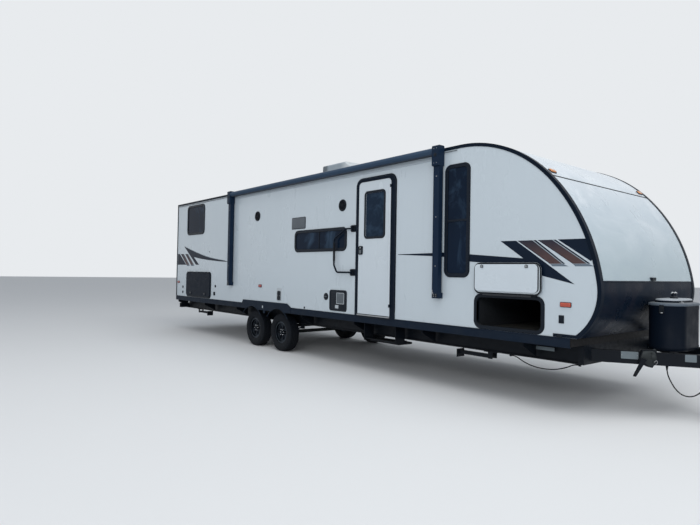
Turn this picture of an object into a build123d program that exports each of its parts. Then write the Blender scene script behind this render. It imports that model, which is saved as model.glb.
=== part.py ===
from build123d import *
from math import asin, atan2, cos, degrees, pi, radians, sin, sqrt, tan
import os

# Travel caravan: laminated body on a steel ladder chassis, two leaf-sprung axles and an A-frame tongue.
# Millimetres. +X is forward, +Y is the left side, +Z is up. The origin is the middle of the jack foot's
# underside, on the ground. A station is a distance forward of the rear wall's outer face.

# Body
body_length = 10190
body_width = 2438
ground_to_floor = 700
floor_t = 90
roof_z = 2945
roof_t = 60
wall_t = 44
front_wall_t = 50
roof_end_back = 1690
brow_back = 508
brow_drop = 525
nose_z = 1335
chin_back = 228
seam_z = 1358
jack_ahead = 670

# Chassis
rail_inset = 319
rail_h = 205
rail_flange_w = 70
rail_flange_t = 9
rail_web_t = 6
rail_rear_station = 20
rail_end_back = 360
header_w = 60
tongue_bottom = 525
tongue_h = 127
tongue_w = 60
tongue_web_t = 6
tongue_root_inset = 160
tongue_tip_y = 50
tongue_tip_gap = 110
ball_ahead = 1000
ball_socket_r = 29.8
ball_socket_depth = 42

# Running gear
axle_middle_station = 4069.5
axle_spread = 887
tyre_r = 331
tyre_w = 205
rim_r = 178
rim_w = 152
wheel_inset = 157
spindle_r = 20
axle_tube_r = 30
drum_r = 128
spring_w = 45
leaf_t = 9
leaf_count = 4

# Clearances
running_gap = 0.3
leaf_gap = 6
pin_gap = 0.3

# Derived places
half_w = body_width / 2
inner_half_w = half_w - wall_t
floor_top = ground_to_floor + floor_t
roof_end_station = body_length - roof_end_back
brow_station = body_length - brow_back
brow_z = roof_z - brow_drop
chin_station = body_length - chin_back
jack_station = body_length + jack_ahead
ball_station = body_length + ball_ahead
rail_front_station = body_length - rail_end_back
rail_bottom = ground_to_floor - rail_h
tongue_top = tongue_bottom + tongue_h
tongue_root_station = rail_front_station + header_w
wheel_stations = (axle_middle_station - axle_spread / 2, axle_middle_station + axle_spread / 2)
wheel_y = half_w - wheel_inset
rail_y = half_w - rail_inset
tongue_root_y = rail_y - tongue_root_inset
SIDES = {"right": -1, "left": 1}
parts = {}


def at(station):
    """X of a station."""
    return station - jack_station


def from_nose(distance):
    """Station of a place given by its distance behind the nose."""
    return body_length - distance


def from_roof(distance):
    """Z of a place given by its distance below the roof."""
    return roof_z - distance


def block(station_lo, station_hi, y_lo, y_hi, z_lo, z_hi):
    """A box from its six faces, with stations along X."""
    size = (station_hi - station_lo, y_hi - y_lo, z_hi - z_lo)
    middle = (at((station_lo + station_hi) / 2), (y_lo + y_hi) / 2, (z_lo + z_hi) / 2)
    return Pos(*middle) * Box(*size)


def slab(face, y_a, y_b):
    """A face drawn in X and Z, as thick as the stretch between two values of Y."""
    y_hi = max(y_a, y_b)
    return extrude(Plane.XZ.offset(-y_hi) * face, amount=abs(y_a - y_b))


def plate_xz(station_lo, station_hi, z_lo, z_hi, corner_r=0):
    """A rectangle drawn in X and Z, its corners rounded where a radius is given."""
    width = station_hi - station_lo
    height = z_hi - z_lo
    if corner_r:
        shape = RectangleRounded(width, height, corner_r)
    else:
        shape = Rectangle(width, height)
    return Pos(at((station_lo + station_hi) / 2), (z_lo + z_hi) / 2) * shape


def rod_x(station_lo, station_hi, y, z, r):
    """A round bar along X."""
    middle = (at((station_lo + station_hi) / 2), y, z)
    return Pos(*middle) * Rot(0, 90, 0) * Cylinder(r, station_hi - station_lo)


def rod_y(station, y_lo, y_hi, z, r):
    """A round bar along Y."""
    return Pos(at(station), (y_lo + y_hi) / 2, z) * Rot(90, 0, 0) * Cylinder(r, y_hi - y_lo)


def rod_z(station, y, z_lo, z_hi, r):
    """A round bar along Z."""
    return Pos(at(station), y, (z_lo + z_hi) / 2) * Cylinder(r, z_hi - z_lo)


def brow_point(station):
    """Z of the falling roof line at a station, and its slope in degrees below level."""
    run = brow_station - roof_end_station
    r = (run ** 2 + brow_drop ** 2) / (2 * brow_drop)
    ahead = station - roof_end_station
    return roof_z - r + sqrt(r ** 2 - ahead ** 2), degrees(asin(ahead / r))


def mirrored(shape):
    """The same shape on the other side of the centre plane."""
    return mirror(shape, about=Plane.XZ)


def on_side(shape, side):
    """A shape drawn on the right side, moved to the side asked for."""
    return shape if side < 0 else mirrored(shape)


def fused(shapes):
    """One shape from a list of touching shapes."""
    whole = shapes[0]
    for shape in shapes[1:]:
        whole = whole + shape
    return whole


def body_profile():
    """The body's side outline above the floor: flat roof, long falling brow, round nose and tucked chin."""
    start = (at(0), floor_top)
    rear_top = (at(0), roof_z)
    roof_end = (at(roof_end_station), roof_z)
    brow = (at(brow_station), brow_z)
    nose = (at(body_length), nose_z)
    chin = (at(chin_station), floor_top)
    roof_curve = TangentArc(roof_end, brow, tangent=(1, 0))
    brow_curve = TangentArc(brow, nose, tangent=roof_curve % 1)
    chin_curve = TangentArc(nose, chin, tangent=brow_curve % 1)
    outline = Line(start, rear_top) + Line(rear_top, roof_end) + roof_curve + brow_curve + chin_curve
    return make_face(outline + Line(chin, start))


profile = body_profile()


# Windows: name, side, station low and high, Z low and high, corner radius
WINDOWS = (
    ("rear_right", -1, 579, 1484, from_roof(748), from_roof(82), 100),
    ("middle_right", -1, from_nose(5172), from_nose(3800), from_roof(1217), from_roof(861), 90),
    ("front_right", -1, from_nose(1914), from_nose(1540), 1370, from_roof(217), 85),
    ("rear_left", 1, 579, 1484, from_roof(748), from_roof(82), 100),
    ("middle_left", 1, from_nose(5490), from_nose(3890), from_roof(1445), from_roof(695), 90),
    ("front_left", 1, from_nose(1914), from_nose(1540), 1370, from_roof(217), 85),
)
window_flange_w = 40
window_flange_t = 12
window_lap = 30
window_sleeve_t = 8
mid_rail_h = 24
pane_t = 5

# Entry door
door_frame_lo = from_nose(3579)
door_frame_hi = from_nose(2760)
door_frame_bottom = 790
door_frame_top = from_roof(185)
door_latch_side_w = 52
door_hinge_side_w = 92
door_sill_h = 20
door_lap = 14
door_frame_t = 14
door_corner_r = 120
door_leaf_t = 42
door_hinge_y = -(half_w + 27)
door_hinge_end_gap = 190
door_lug_h = 40
# Door window: station low and high, Z low and high
door_window_box = (door_frame_lo + 179, door_frame_hi - 208, from_roof(1057), from_roof(382))
door_window_flange_w = 30
door_window_corner_r = 60
# Latch: station low and high from the door leaf's rear edge, Z low and high
door_latch_box = (10, 98, 1663, 1787)

# Hatches: name, side, frame station low and high, frame Z low and high, corner radius, angle at rest
HATCHES = (
    ("front_right", -1, from_nose(1462), from_nose(578), 795, 1186, 90, 180),
    ("front_left", 1, from_nose(1462), from_nose(578), 795, 1186, 90, 0),
    ("rear_right", -1, 590, 1856, 797, 1358, 75, 0),
)
hatch_flange_w = 38
hatch_hinge_end_gap = 130
hatch_lug_w = 40
hatch_flange_t = 7
hatch_sleeve_t = 6
hatch_skin_t = 12
hatch_plug_t = 26
hatch_skin_inset = 17
hatch_skin_gap = 2
hatch_hinge_out = 22
hatch_lug_gap = 6
knuckle_r = 8
pin_r = 4
bay_height = 440


def wall_cutter(lo, hi, z_lo, z_hi, side):
    """A square-cornered cutter right through one side wall."""
    reach = 40
    return on_side(slab(plate_xz(lo, hi, z_lo, z_hi), -(half_w + reach), -(inner_half_w - reach)), side)


def build_side_walls():
    """Two laminated side walls, cut for the windows, the door and the hatches."""
    for name, side in SIDES.items():
        wall = on_side(slab(profile, -half_w, -inner_half_w), side)
        for window, window_side, lo, hi, z_lo, z_hi, corner in WINDOWS:
            if window_side == side:
                lap = window_lap
                wall -= wall_cutter(lo + lap, hi - lap, z_lo + lap, z_hi - lap, side)
        for hatch, hatch_side, lo, hi, z_lo, z_hi, corner, rest in HATCHES:
            if hatch_side == side:
                inset = hatch_flange_w - hatch_sleeve_t
                wall -= wall_cutter(lo + inset, hi - inset, z_lo + inset, z_hi - inset, side)
        if side < 0:
            lo, hi = door_frame_lo + door_lap, door_frame_hi - door_lap
            door_cut = plate_xz(lo, hi, floor_top - 200, door_frame_top - door_lap, door_corner_r - door_lap)
            wall -= slab(door_cut, -(half_w + 40), -(inner_half_w - 40))
        parts[f"sidewall_{name}"] = wall


def build_shell():
    """Roof, rear wall and the two front wall sections, fitted between the side walls."""
    band = profile - offset(profile, amount=-front_wall_t, kind=Kind.INTERSECTION)
    big = 4000
    top = roof_z - roof_t
    roof_face = profile & plate_xz(-10, roof_end_station, top, big)
    rear_face = profile & plate_xz(-10, wall_t, floor_top, top)
    upper_face = band & plate_xz(roof_end_station, body_length + 10, seam_z, big)
    lower_face = band & plate_xz(chin_station - 600, body_length + 10, floor_top + front_wall_t, seam_z)
    chin_block = profile & plate_xz(chin_station - 30, body_length, floor_top, floor_top + front_wall_t)
    parts["roof"] = slab(roof_face, -inner_half_w, inner_half_w)
    parts["rear_wall"] = slab(rear_face, -inner_half_w, inner_half_w)
    parts["front_wall_upper"] = slab(upper_face, -inner_half_w, inner_half_w)
    parts["front_wall_lower"] = slab(lower_face + chin_block, -inner_half_w, inner_half_w)


# Edge trims
trim_face_w = 34
trim_t = 6
trim_lip_lap = 2


def build_trims():
    """Moulded edge trims that cap the joint between each side wall and the roof and front."""
    grown = offset(profile, amount=trim_t, kind=Kind.INTERSECTION)
    shrunk = offset(profile, amount=-trim_face_w, kind=Kind.INTERSECTION)
    keep = plate_xz(-50, body_length + 50, floor_top + 2, 4000)
    face_band = (grown - shrunk) & keep
    edge_band = (grown - profile) & keep
    below = plate_xz(trim_face_w, chin_station - 250, floor_top, floor_top + trim_face_w + 20)
    face_band = face_band - below
    solids = []
    for side in SIDES.values():
        cap = slab(face_band, -(half_w + trim_t), -half_w)
        lip = slab(edge_band, -half_w, -(inner_half_w - trim_lip_lap))
        solids.append(on_side(cap + lip, side))
    parts["edge_trims"] = Compound(children=solids)


# Floor, wheel boxes, skirts
wheel_box_lo = wheel_stations[0] - 411
wheel_box_hi = wheel_stations[1] + 412
wheel_box_y = wheel_y - 137
wheel_box_t = 8
skirt_t = 6
skirt_drop = 100
skirt_lip = 25
fender_t = 12
arch_r = 412
fender_top = floor_top + 62
fender_lo = wheel_stations[0] - 450
fender_hi = wheel_stations[1] + 422


def build_floor():
    """Floor slab cut out for the wheels, with a flat box lid over each pair."""
    floor = block(0, chin_station - 62, -half_w, half_w, ground_to_floor, floor_top)
    lap = 25
    for side in SIDES.values():
        cut = block(wheel_box_lo, wheel_box_hi, -half_w - 1, -wheel_box_y, ground_to_floor - 1, floor_top + 1)
        lid = block(wheel_box_lo - lap, wheel_box_hi + lap, -inner_half_w, -wheel_box_y + lap,
                    floor_top, floor_top + wheel_box_t)
        floor = floor - on_side(cut, side) + on_side(lid, side)
    parts["floor"] = floor


def build_skirts():
    """Black skirts along both sides, with a plate over each pair of wheels that has two round arches."""
    solids = []
    low = floor_top - skirt_drop
    for side in SIDES.values():
        strip = slab(plate_xz(0, chin_station - 70, low, floor_top), -(half_w + skirt_t), -half_w)
        hem = block(0, chin_station - 70, -half_w, -(half_w - skirt_lip), low, low + 5)
        corners = [(fender_lo, low), (fender_lo + 110, fender_top), (fender_hi - 120, fender_top)]
        corners += [(fender_hi, floor_top), (fender_hi, low)]
        outline = Polyline(*[(at(s), z) for s, z in corners], close=True)
        fender = slab(make_face(outline), -(half_w + fender_t), -half_w)
        mid = sum(wheel_stations) / 2
        tip = slab(plate_xz(mid - 30, mid + 30, 640, low + 60), -(half_w + fender_t), -half_w)
        skirt = strip + hem + fender + tip
        for station in wheel_stations:
            skirt -= rod_y(station, -(half_w + 60), -(half_w - 60), tyre_r, arch_r)
        solids.append(on_side(skirt, side))
    parts["skirts"] = Compound(children=solids)


def build_windows():
    """Window frames with a rounded flange and a square sleeve through the wall, and the panes behind."""
    frames = []
    panes = []
    for name, side, lo, hi, z_lo, z_hi, corner in WINDOWS:
        w = window_flange_w
        lap = window_lap
        bed = window_lap + window_sleeve_t
        outer = plate_xz(lo, hi, z_lo, z_hi, corner)
        sight = plate_xz(lo + w, hi - w, z_lo + w, z_hi - w, corner - w)
        sleeve = plate_xz(lo + lap, hi - lap, z_lo + lap, z_hi - lap)
        room = plate_xz(lo + bed, hi - bed, z_lo + bed, z_hi - bed)
        frame = slab(outer - sight, -(half_w + window_flange_t), -half_w)
        frame += slab(sleeve - room, -half_w, -inner_half_w)
        if z_hi - z_lo > 2 * (hi - lo):
            rail_z = (z_lo + z_hi) / 2
            rail = plate_xz(lo + w, hi - w, rail_z - mid_rail_h / 2, rail_z + mid_rail_h / 2)
            frame += slab(rail, -(half_w + window_flange_t), -half_w)
        pane = slab(room, -half_w, -(half_w - pane_t))
        frames.append(on_side(frame, side))
        panes.append(on_side(pane, side))
    parts["window_frames"] = Compound(children=frames)
    parts["window_panes"] = Compound(children=panes)


def build_door():
    """Entry door: frame, leaf with its window, latch, and a full-length outside hinge on the front edge."""
    lo, hi, z_lo, z_hi = door_frame_lo, door_frame_hi, door_frame_bottom, door_frame_top
    lap, w_lo, w_hi, sill = door_lap, door_latch_side_w, door_hinge_side_w, door_sill_h
    foot_h = 200
    outer = plate_xz(lo, hi, z_lo, z_hi, door_corner_r) + plate_xz(lo, hi, z_lo, z_lo + foot_h)
    sleeve = plate_xz(lo + lap, hi - lap, z_lo, z_hi - lap, door_corner_r - lap)
    sleeve += plate_xz(lo + lap, hi - lap, z_lo, z_lo + foot_h)
    inner_r = door_corner_r - w_lo
    inner = plate_xz(lo + w_lo, hi - w_hi, z_lo + sill, z_hi - w_lo, inner_r)
    inner += plate_xz(lo + w_lo, hi - w_hi, z_lo + sill, z_lo + sill + foot_h)
    frame = slab(outer - inner, -(half_w + door_frame_t), -half_w)
    frame += slab(sleeve - inner, -half_w, -inner_half_w)
    g = leaf_gap
    leaf_lo, leaf_hi = lo + w_lo + g, hi - w_hi - g
    leaf_z_lo, leaf_z_hi = z_lo + sill + g, z_hi - w_lo - g
    leaf_face = plate_xz(leaf_lo, leaf_hi, leaf_z_lo, leaf_z_hi, inner_r - g)
    leaf_face += plate_xz(leaf_lo, leaf_hi, leaf_z_lo, leaf_z_lo + foot_h)
    front_y = -(half_w + 8)
    leaf = slab(leaf_face, front_y, front_y + door_leaf_t)
    win_lo, win_hi, win_z_lo, win_z_hi = door_window_box
    f = door_window_flange_w
    flange = plate_xz(win_lo, win_hi, win_z_lo, win_z_hi, door_window_corner_r)
    hole = plate_xz(win_lo + f, win_hi - f, win_z_lo + f, win_z_hi - f, door_window_corner_r - f)
    leaf -= slab(hole, -(half_w + 60), -(half_w - 80))
    window_ring = slab(flange - hole, front_y - 7, front_y)
    pane = slab(hole, front_y + 4, front_y + 4 + pane_t)

    axis_station = leaf_hi + 4
    hinge_lo, hinge_hi = z_lo + door_hinge_end_gap, z_hi - door_hinge_end_gap
    barrel = rod_z(axis_station, door_hinge_y, hinge_lo, hinge_hi, knuckle_r)
    strap = block(leaf_hi - 22, axis_station, door_hinge_y - 2, front_y, hinge_lo, hinge_hi)
    leaf += (barrel + strap) - rod_z(axis_station, door_hinge_y, hinge_lo - 1, hinge_hi + 1, pin_r + pin_gap)
    for z in (hinge_lo - door_lug_h - 1, hinge_hi + 1):
        lug = rod_z(axis_station, door_hinge_y, z, z + door_lug_h, knuckle_r)
        foot = block(axis_station, axis_station + 26, door_hinge_y, -(half_w + door_frame_t),
                     z, z + door_lug_h)
        frame += lug + foot
    frame += rod_z(axis_station, door_hinge_y, hinge_lo - door_lug_h - 1, hinge_hi + door_lug_h + 1, pin_r)

    latch_lo, latch_hi, latch_z_lo, latch_z_hi = door_latch_box
    body_box = block(leaf_lo + latch_lo, leaf_lo + latch_hi, front_y - 16, front_y, latch_z_lo, latch_z_hi)
    latch = fillet(body_box.edges().filter_by(Axis.Y), 14)
    paddle_z = (latch_z_lo + latch_z_hi) / 2 - 12
    latch += block(leaf_lo + latch_lo + 18, leaf_lo + latch_hi - 18, front_y - 24, front_y - 16,
                   paddle_z - 18, paddle_z + 18)
    parts["door_frame"] = frame
    parts["door_leaf"] = leaf
    parts["door_window_ring"] = window_ring
    parts["door_pane"] = pane
    parts["door_latch"] = latch


def hatch_axis(side, z_hi):
    """Y and Z of a hatch's hinge."""
    return side * (half_w + hatch_hinge_out), z_hi - 4


def build_hatches():
    """Top-hinged baggage hatches: a flanged frame, and a leaf with a skin and a plug."""
    frames = []
    for name, side, lo, hi, z_lo, z_hi, corner, rest in HATCHES:
        w = hatch_flange_w
        s = hatch_sleeve_t
        outer = plate_xz(lo, hi, z_lo, z_hi, corner)
        sleeve = plate_xz(lo + w - s, hi - w + s, z_lo + w - s, z_hi - w + s)
        inner = plate_xz(lo + w, hi - w, z_lo + w, z_hi - w, corner - w)
        frame = slab(outer - inner, -(half_w + hatch_flange_t), -half_w)
        frame += slab(sleeve - inner, -half_w, -inner_half_w)
        skin_back = -(half_w + hatch_flange_t + hatch_skin_gap)
        inset = hatch_skin_inset
        skin = plate_xz(lo + inset, hi - inset, z_lo + inset + 10, z_hi - 12, corner - inset + 5)
        edge = w + leaf_gap + 3
        plug = plate_xz(lo + edge, hi - edge, z_lo + edge, z_hi - edge, corner - edge)
        leaf = slab(skin, skin_back - hatch_skin_t, skin_back)
        leaf += slab(plug, skin_back, skin_back + hatch_plug_t)
        axis_y, axis_z = hatch_axis(-1, z_hi)
        hinge_lo, hinge_hi = lo + hatch_hinge_end_gap, hi - hatch_hinge_end_gap
        strap = block(hinge_lo, hinge_hi, axis_y - knuckle_r, skin_back - 1,
                      axis_z - 14, axis_z + knuckle_r)
        leaf += strap - rod_x(hinge_lo - 1, hinge_hi + 1, axis_y, axis_z, pin_r + pin_gap)
        for lug_lo in (hinge_lo - hatch_lug_w - 1, hinge_hi + 1):
            lug_hi = lug_lo + hatch_lug_w
            frame += rod_x(lug_lo, lug_hi, axis_y, axis_z, knuckle_r)
            frame += block(lug_lo, lug_hi, axis_y, -half_w, axis_z - knuckle_r, axis_z + knuckle_r)
            leaf -= block(lug_lo - hatch_lug_gap, lug_hi + hatch_lug_gap, axis_y - 20, skin_back + 1,
                          axis_z - knuckle_r - hatch_lug_gap, axis_z + 20)
        frame += rod_x(hinge_lo - 2, hinge_hi + 2, axis_y, axis_z, pin_r)
        if rest:
            leaf = leaf.rotate(Axis((0, axis_y, axis_z), (1, 0, 0)), -rest)
        frames.append(on_side(frame, side))
        parts[f"hatch_{name}"] = on_side(leaf, side)
    parts["hatch_frames"] = Compound(children=frames)


def build_storage_bay():
    """Lined pass-through bay behind the front hatches, open at both ends."""
    name, side, lo, hi, z_lo, z_hi, corner, rest = HATCHES[0]
    lining_t = 12
    lo, hi = lo + 10, hi - 10
    outside = block(lo, hi, -inner_half_w, inner_half_w, floor_top, floor_top + bay_height)
    room = block(lo + lining_t, hi - lining_t, -inner_half_w - 1, inner_half_w + 1,
                 floor_top + lining_t, floor_top + bay_height - lining_t)
    parts["storage_bay"] = outside - room


def i_beam(station_lo, station_hi, y):
    """A rolled beam of I section along X, under the floor."""
    half_f = rail_flange_w / 2
    low, high = rail_bottom, ground_to_floor
    top = block(station_lo, station_hi, y - half_f, y + half_f, high - rail_flange_t, high)
    foot = block(station_lo, station_hi, y - half_f, y + half_f, low, low + rail_flange_t)
    web = block(station_lo, station_hi, y - rail_web_t / 2, y + rail_web_t / 2, low, high)
    return top + foot + web


# Entry step
step_lo = from_nose(3490)
step_hi = from_nose(2850)
step_axis_y = -(half_w - 144)
step_axis_z = 452
step_arm_len = 190
step_tread_w = 260
step_t = 28
step_pin_r = 8
step_plate_t = 10

# Free cables: points in stations, Y and Z
cable_r = 6
clip_len = 20
gland_r = 13
plug_r = 22
plug_len = 58
plug_neck_r = 13
plug_neck_len = 22
# Points of the cables: distance ahead of the nose, to the left of their rail's middle line at the start,
# and above the underside of that rail
BELLY_CABLE = (
    (-1170, 0, -10),
    (-1114, 0, -10),
    (-1018, -2, -61),
    (-894, -6, -97),
    (-754, -9, -106),
    (-622, -7, -93),
    (-502, -3, -55),
    (-420, 0, -10),
    (-368, 0, -10),
)
TOW_CABLE = (
    (280, 24, -14),
    (280, 24, -79),
    (318, 25, -165),
    (368, 28, -241),
    (432, 34, -282),
    (506, 44, -277),
    (566, 57, -229),
    (613, 71, -163),
    (652, 86, -89),
    (682, 103, -9),
    (702, 122, 73),
    (711, 140, 147),
    (692, 169, 181),
    (665, 210, 187),
    (638, 251, 157.3),
    (616, 284, 157.3),
)

cross_stations = (60, 1500, 2960, from_nose(4990), from_nose(3640), from_nose(2290), from_nose(840))
outrigger_t = 6


def belly_route():
    """Stations, Y and Z of the belly cable's points, below the right chassis rail."""
    return [(from_nose(-ahead), left - rail_y, rail_bottom + up) for ahead, left, up in BELLY_CABLE]


def tow_route():
    """Stations, Y and Z of the tow cable's points, from below the right tongue rail."""
    start_y = tongue_y(from_nose(-TOW_CABLE[0][0]))
    return [(from_nose(-ahead), left - start_y, tongue_bottom + up) for ahead, left, up in TOW_CABLE]


def build_chassis():
    """Two I-beam rails joined by a front header."""
    rails = [i_beam(rail_rear_station, rail_front_station, side * rail_y) for side in SIDES.values()]
    header_y = rail_y + rail_flange_w / 2
    header = block(rail_front_station, tongue_root_station, -header_y, header_y, rail_bottom, ground_to_floor)
    frame = rails[0] + rails[1] + header
    route = belly_route()
    for (station, y, z), behind, ahead in ((route[0], clip_len, 0), (route[-1], 0, clip_len)):
        frame += block(station - behind, station + ahead, y - 2 * cable_r, y + 2 * cable_r,
                       z - 2 * cable_r, rail_bottom)
    parts["chassis"] = frame


def step_hanger():
    """Two plates under the floor edge and the step's hinge rod between them."""
    half_t = step_plate_t / 2
    inner_y = -(rail_y + rail_flange_w / 2)
    solids = [rod_x(step_lo + half_t, step_hi - half_t, step_axis_y, step_axis_z, step_pin_r)]
    for station in (step_lo, step_hi):
        solids.append(block(station - half_t, station + half_t, step_axis_y - 40, inner_y,
                            step_axis_z - 22, ground_to_floor))
    return solids


def build_frame_members():
    """Cross members, tapered outriggers out to the walls, and the hangers of the step and stabilizers."""
    web_y = rail_y - rail_web_t / 2
    y_in, y_out = rail_y + rail_flange_w / 2, half_w - 30
    corners = [(y_in, rail_bottom + 20), (y_in, ground_to_floor), (y_out, ground_to_floor)]
    corners += [(y_out, ground_to_floor - 55)]
    members = step_hanger() + stabilizer_brackets()
    for station in cross_stations:
        members.append(block(station - 25, station + 25, -web_y, web_y, ground_to_floor - 110,
                             ground_to_floor - 10))
        for side in SIDES.values():
            face = make_face(Polyline(*[(side * y, z) for y, z in corners], close=True))
            plane = Plane(origin=(at(station), 0, 0), x_dir=(0, 1, 0), z_dir=(1, 0, 0))
            members.append(extrude(plane * face, amount=outrigger_t / 2, both=True))
    parts["frame_members"] = Compound(children=members)


def tongue_y(station):
    """Y of the left tongue rail's middle line at a station."""
    run = ball_station - tongue_tip_gap - tongue_root_station
    share = (station - tongue_root_station) / run
    return tongue_root_y * (1 - share) + tongue_tip_y * share


# Spring bar bracket and its lever: stations from the bracket's place, and Z
bracket_station = from_nose(-150)
bracket_t = 46
lever_t = 14
BRACKET_OUTLINE = ((-48, 677), (52, 683), (76, 592), (30, 503), (-16, 514), (-75, 549))
LEVER_OUTLINE = ((-52, 600), (-12, 585), (-97, 406), (-121, 409))


def spring_bar_bracket(angle, across):
    """The right spring bar bracket, drawn on the outer face of its rail, with the lever hanging from it."""
    along = Vector(cos(radians(angle)), -sin(radians(angle)), 0)
    outward = Vector(along.Y, -along.X, 0)
    face_y = -(tongue_y(bracket_station) + across)
    plane = Plane(origin=(at(bracket_station), face_y, 0), x_dir=along, z_dir=outward)
    solids = []
    for outline, out, thickness in ((BRACKET_OUTLINE, 0, bracket_t), (LEVER_OUTLINE, bracket_t, lever_t)):
        face = make_face(Polyline(*[(s / along.X, z) for s, z in outline], close=True))
        solids.append(extrude(plane.offset(out) * face, amount=thickness))
    return solids[0] + solids[1]


def build_tongue():
    """Two box rails from the chassis header to the coupler, with the jack plate and the gas bottle tray."""
    tip_station = ball_station - tongue_tip_gap
    angle = degrees(atan2(tongue_tip_y - tongue_root_y, tip_station - tongue_root_station))
    across = tongue_w / 2 / cos(radians(angle))
    wall = tongue_web_t / cos(radians(angle))
    outline = []
    hollow = []
    for station, way in ((tongue_root_station, 1), (tip_station, -1)):
        y = tongue_y(station)
        outline += [(at(station), y - way * across), (at(station), y + way * across)]
        hollow += [(at(station), y - way * (across - wall)), (at(station), y + way * (across - wall))]
    low = Plane.XY.offset(tongue_bottom)
    rail = extrude(low * make_face(Polyline(*outline, close=True)), amount=tongue_h)
    inside = Plane.XY.offset(tongue_bottom + tongue_web_t) * make_face(Polyline(*hollow, close=True))
    rail -= extrude(inside, amount=tongue_h - 2 * tongue_web_t)
    bracket = spring_bar_bracket(angle, across)
    frame = rail + mirrored(rail) + bracket + mirrored(bracket)
    plate_t = 8
    frame += block(jack_station - 100, jack_station + 100, -tongue_y(jack_station - 100),
                   tongue_y(jack_station - 100), tongue_top, tongue_top + plate_t)
    frame -= rod_z(jack_station, 0, tongue_top - 10, tongue_top + 20, jack_tube_r + running_gap)
    for station in (cover_station - 110, cover_station + 110):
        y = tongue_y(station)
        frame += block(station - 25, station + 25, -y, y, tongue_top, tongue_top + cover_bottom_gap)
    station, y, z = tow_route()[0]
    parts["a_frame"] = frame + rod_z(station, y, z, tongue_bottom, gland_r)


# Tongue jack
jack_tube_r = 36
jack_tube_t = 5
jack_leg_r = 30
jack_foot_r = 95
jack_foot_t = 10
jack_tube_bottom = 330
jack_head_z = 1010


def build_jack():
    """Tongue jack: outer tube with its power head, and the leg with its foot."""
    tube = rod_z(jack_station, 0, jack_tube_bottom, jack_head_z, jack_tube_r)
    tube -= rod_z(jack_station, 0, jack_tube_bottom - 1, jack_head_z - 30, jack_tube_r - jack_tube_t)
    collar = rod_z(jack_station, 0, tongue_top + 8, tongue_top + 18, 75)
    collar -= rod_z(jack_station, 0, tongue_top, tongue_top + 30, jack_tube_r - 1)
    head = block(jack_station - 65, jack_station + 75, -70, 70, jack_head_z, jack_head_z + 190)
    head = fillet(head.edges().filter_by(Axis.Z), 26)
    leg = rod_z(jack_station, 0, jack_foot_t, jack_head_z - 420, jack_leg_r)
    leg += rod_z(jack_station, 0, 0, jack_foot_t, jack_foot_r)
    parts["jack_housing"] = tube + collar + head
    parts["jack_leg"] = leg


def build_coupler():
    """Stamped coupler with the ball socket underneath and a latch lever on top."""
    z_lo, z_hi = tongue_top - 70, tongue_top
    butt = ball_station - tongue_tip_gap
    body = block(butt, ball_station, -tongue_tip_y + 4, tongue_tip_y - 4, z_lo, z_hi)
    body += rod_z(ball_station, 0, z_lo, z_hi, 52)
    body -= rod_z(ball_station, 0, z_lo - 1, z_lo + ball_socket_depth, ball_socket_r)
    body += block(butt - 90, ball_station - 40, -40, 40, z_hi, z_hi + 10)
    body += block(ball_station - 95, ball_station - 25, -12, 12, z_hi, z_hi + 45)
    parts["coupler"] = body


# Gas bottle cover
cover_station = body_length + 208
cover_len = 362
cover_w = 660
cover_bottom_gap = 8
cover_rim_z = 1150


def build_gas_cover():
    """Moulded gas bottle cover on its tray: a flat-sided drum with a rim and a raised lid."""
    low = tongue_top + cover_bottom_gap
    oval = Pos(at(cover_station), 0) * RectangleRounded(cover_len, cover_w, cover_len / 2 - 2)
    drum = extrude(Plane.XY.offset(low) * oval, amount=cover_rim_z - 30 - low)
    rim_face = offset(oval, amount=9)
    rim = extrude(Plane.XY.offset(cover_rim_z - 30) * rim_face, amount=30)
    lid = extrude(Plane.XY.offset(cover_rim_z) * offset(oval, amount=-62), amount=38)
    cover = drum + rim + lid
    handle = rod_z(cover_station, 0, cover_rim_z + 38, cover_rim_z + 92, 8)
    handle += rod_y(cover_station, -62, 62, cover_rim_z + 96, 9)
    handle += rod_z(cover_station, 0, cover_rim_z + 38, cover_rim_z + 46, 30)
    parts["gas_cover"] = cover
    parts["gas_cover_handle"] = handle


def build_axles():
    """Two straight axles with brake drums and spindles."""
    solids = []
    for station in wheel_stations:
        y_out = wheel_y - 62
        axle = rod_y(station, -y_out, y_out, tyre_r, axle_tube_r)
        for side in SIDES.values():
            drum_lo, drum_hi = wheel_y - 85, wheel_y - 20
            drum = rod_y(station, -drum_hi, -drum_lo, tyre_r, drum_r)
            spindle = rod_y(station, -(wheel_y + 46), -y_out, tyre_r, spindle_r)
            axle += on_side(drum + spindle, side)
        solids.append(axle)
    parts["axles"] = Compound(children=solids)


def leaf_spring(station):
    """A bow of stacked leaves seated on the axle tube, drawn in X and Z, shorter towards the bottom."""
    seat = tyre_r + axle_tube_r
    half_span = 320
    rise = 52
    bow_r = (half_span ** 2 + rise ** 2) / (2 * rise)
    faces = []
    for i in range(leaf_count):
        z_low = seat + i * leaf_t
        share = (i + 1.6) / (leaf_count + 0.6)
        centre = (at(station), z_low + bow_r)
        half_angle = degrees(atan2(half_span * share, bow_r))
        arc_out = CenterArc(centre, bow_r, 270 - half_angle, 2 * half_angle)
        arc_in = CenterArc(centre, bow_r - leaf_t, 270 - half_angle, 2 * half_angle)
        outline = arc_out + arc_in + Line(arc_out @ 0, arc_in @ 0) + Line(arc_out @ 1, arc_in @ 1)
        faces.append(make_face(outline))
    return fused(faces)


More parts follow.
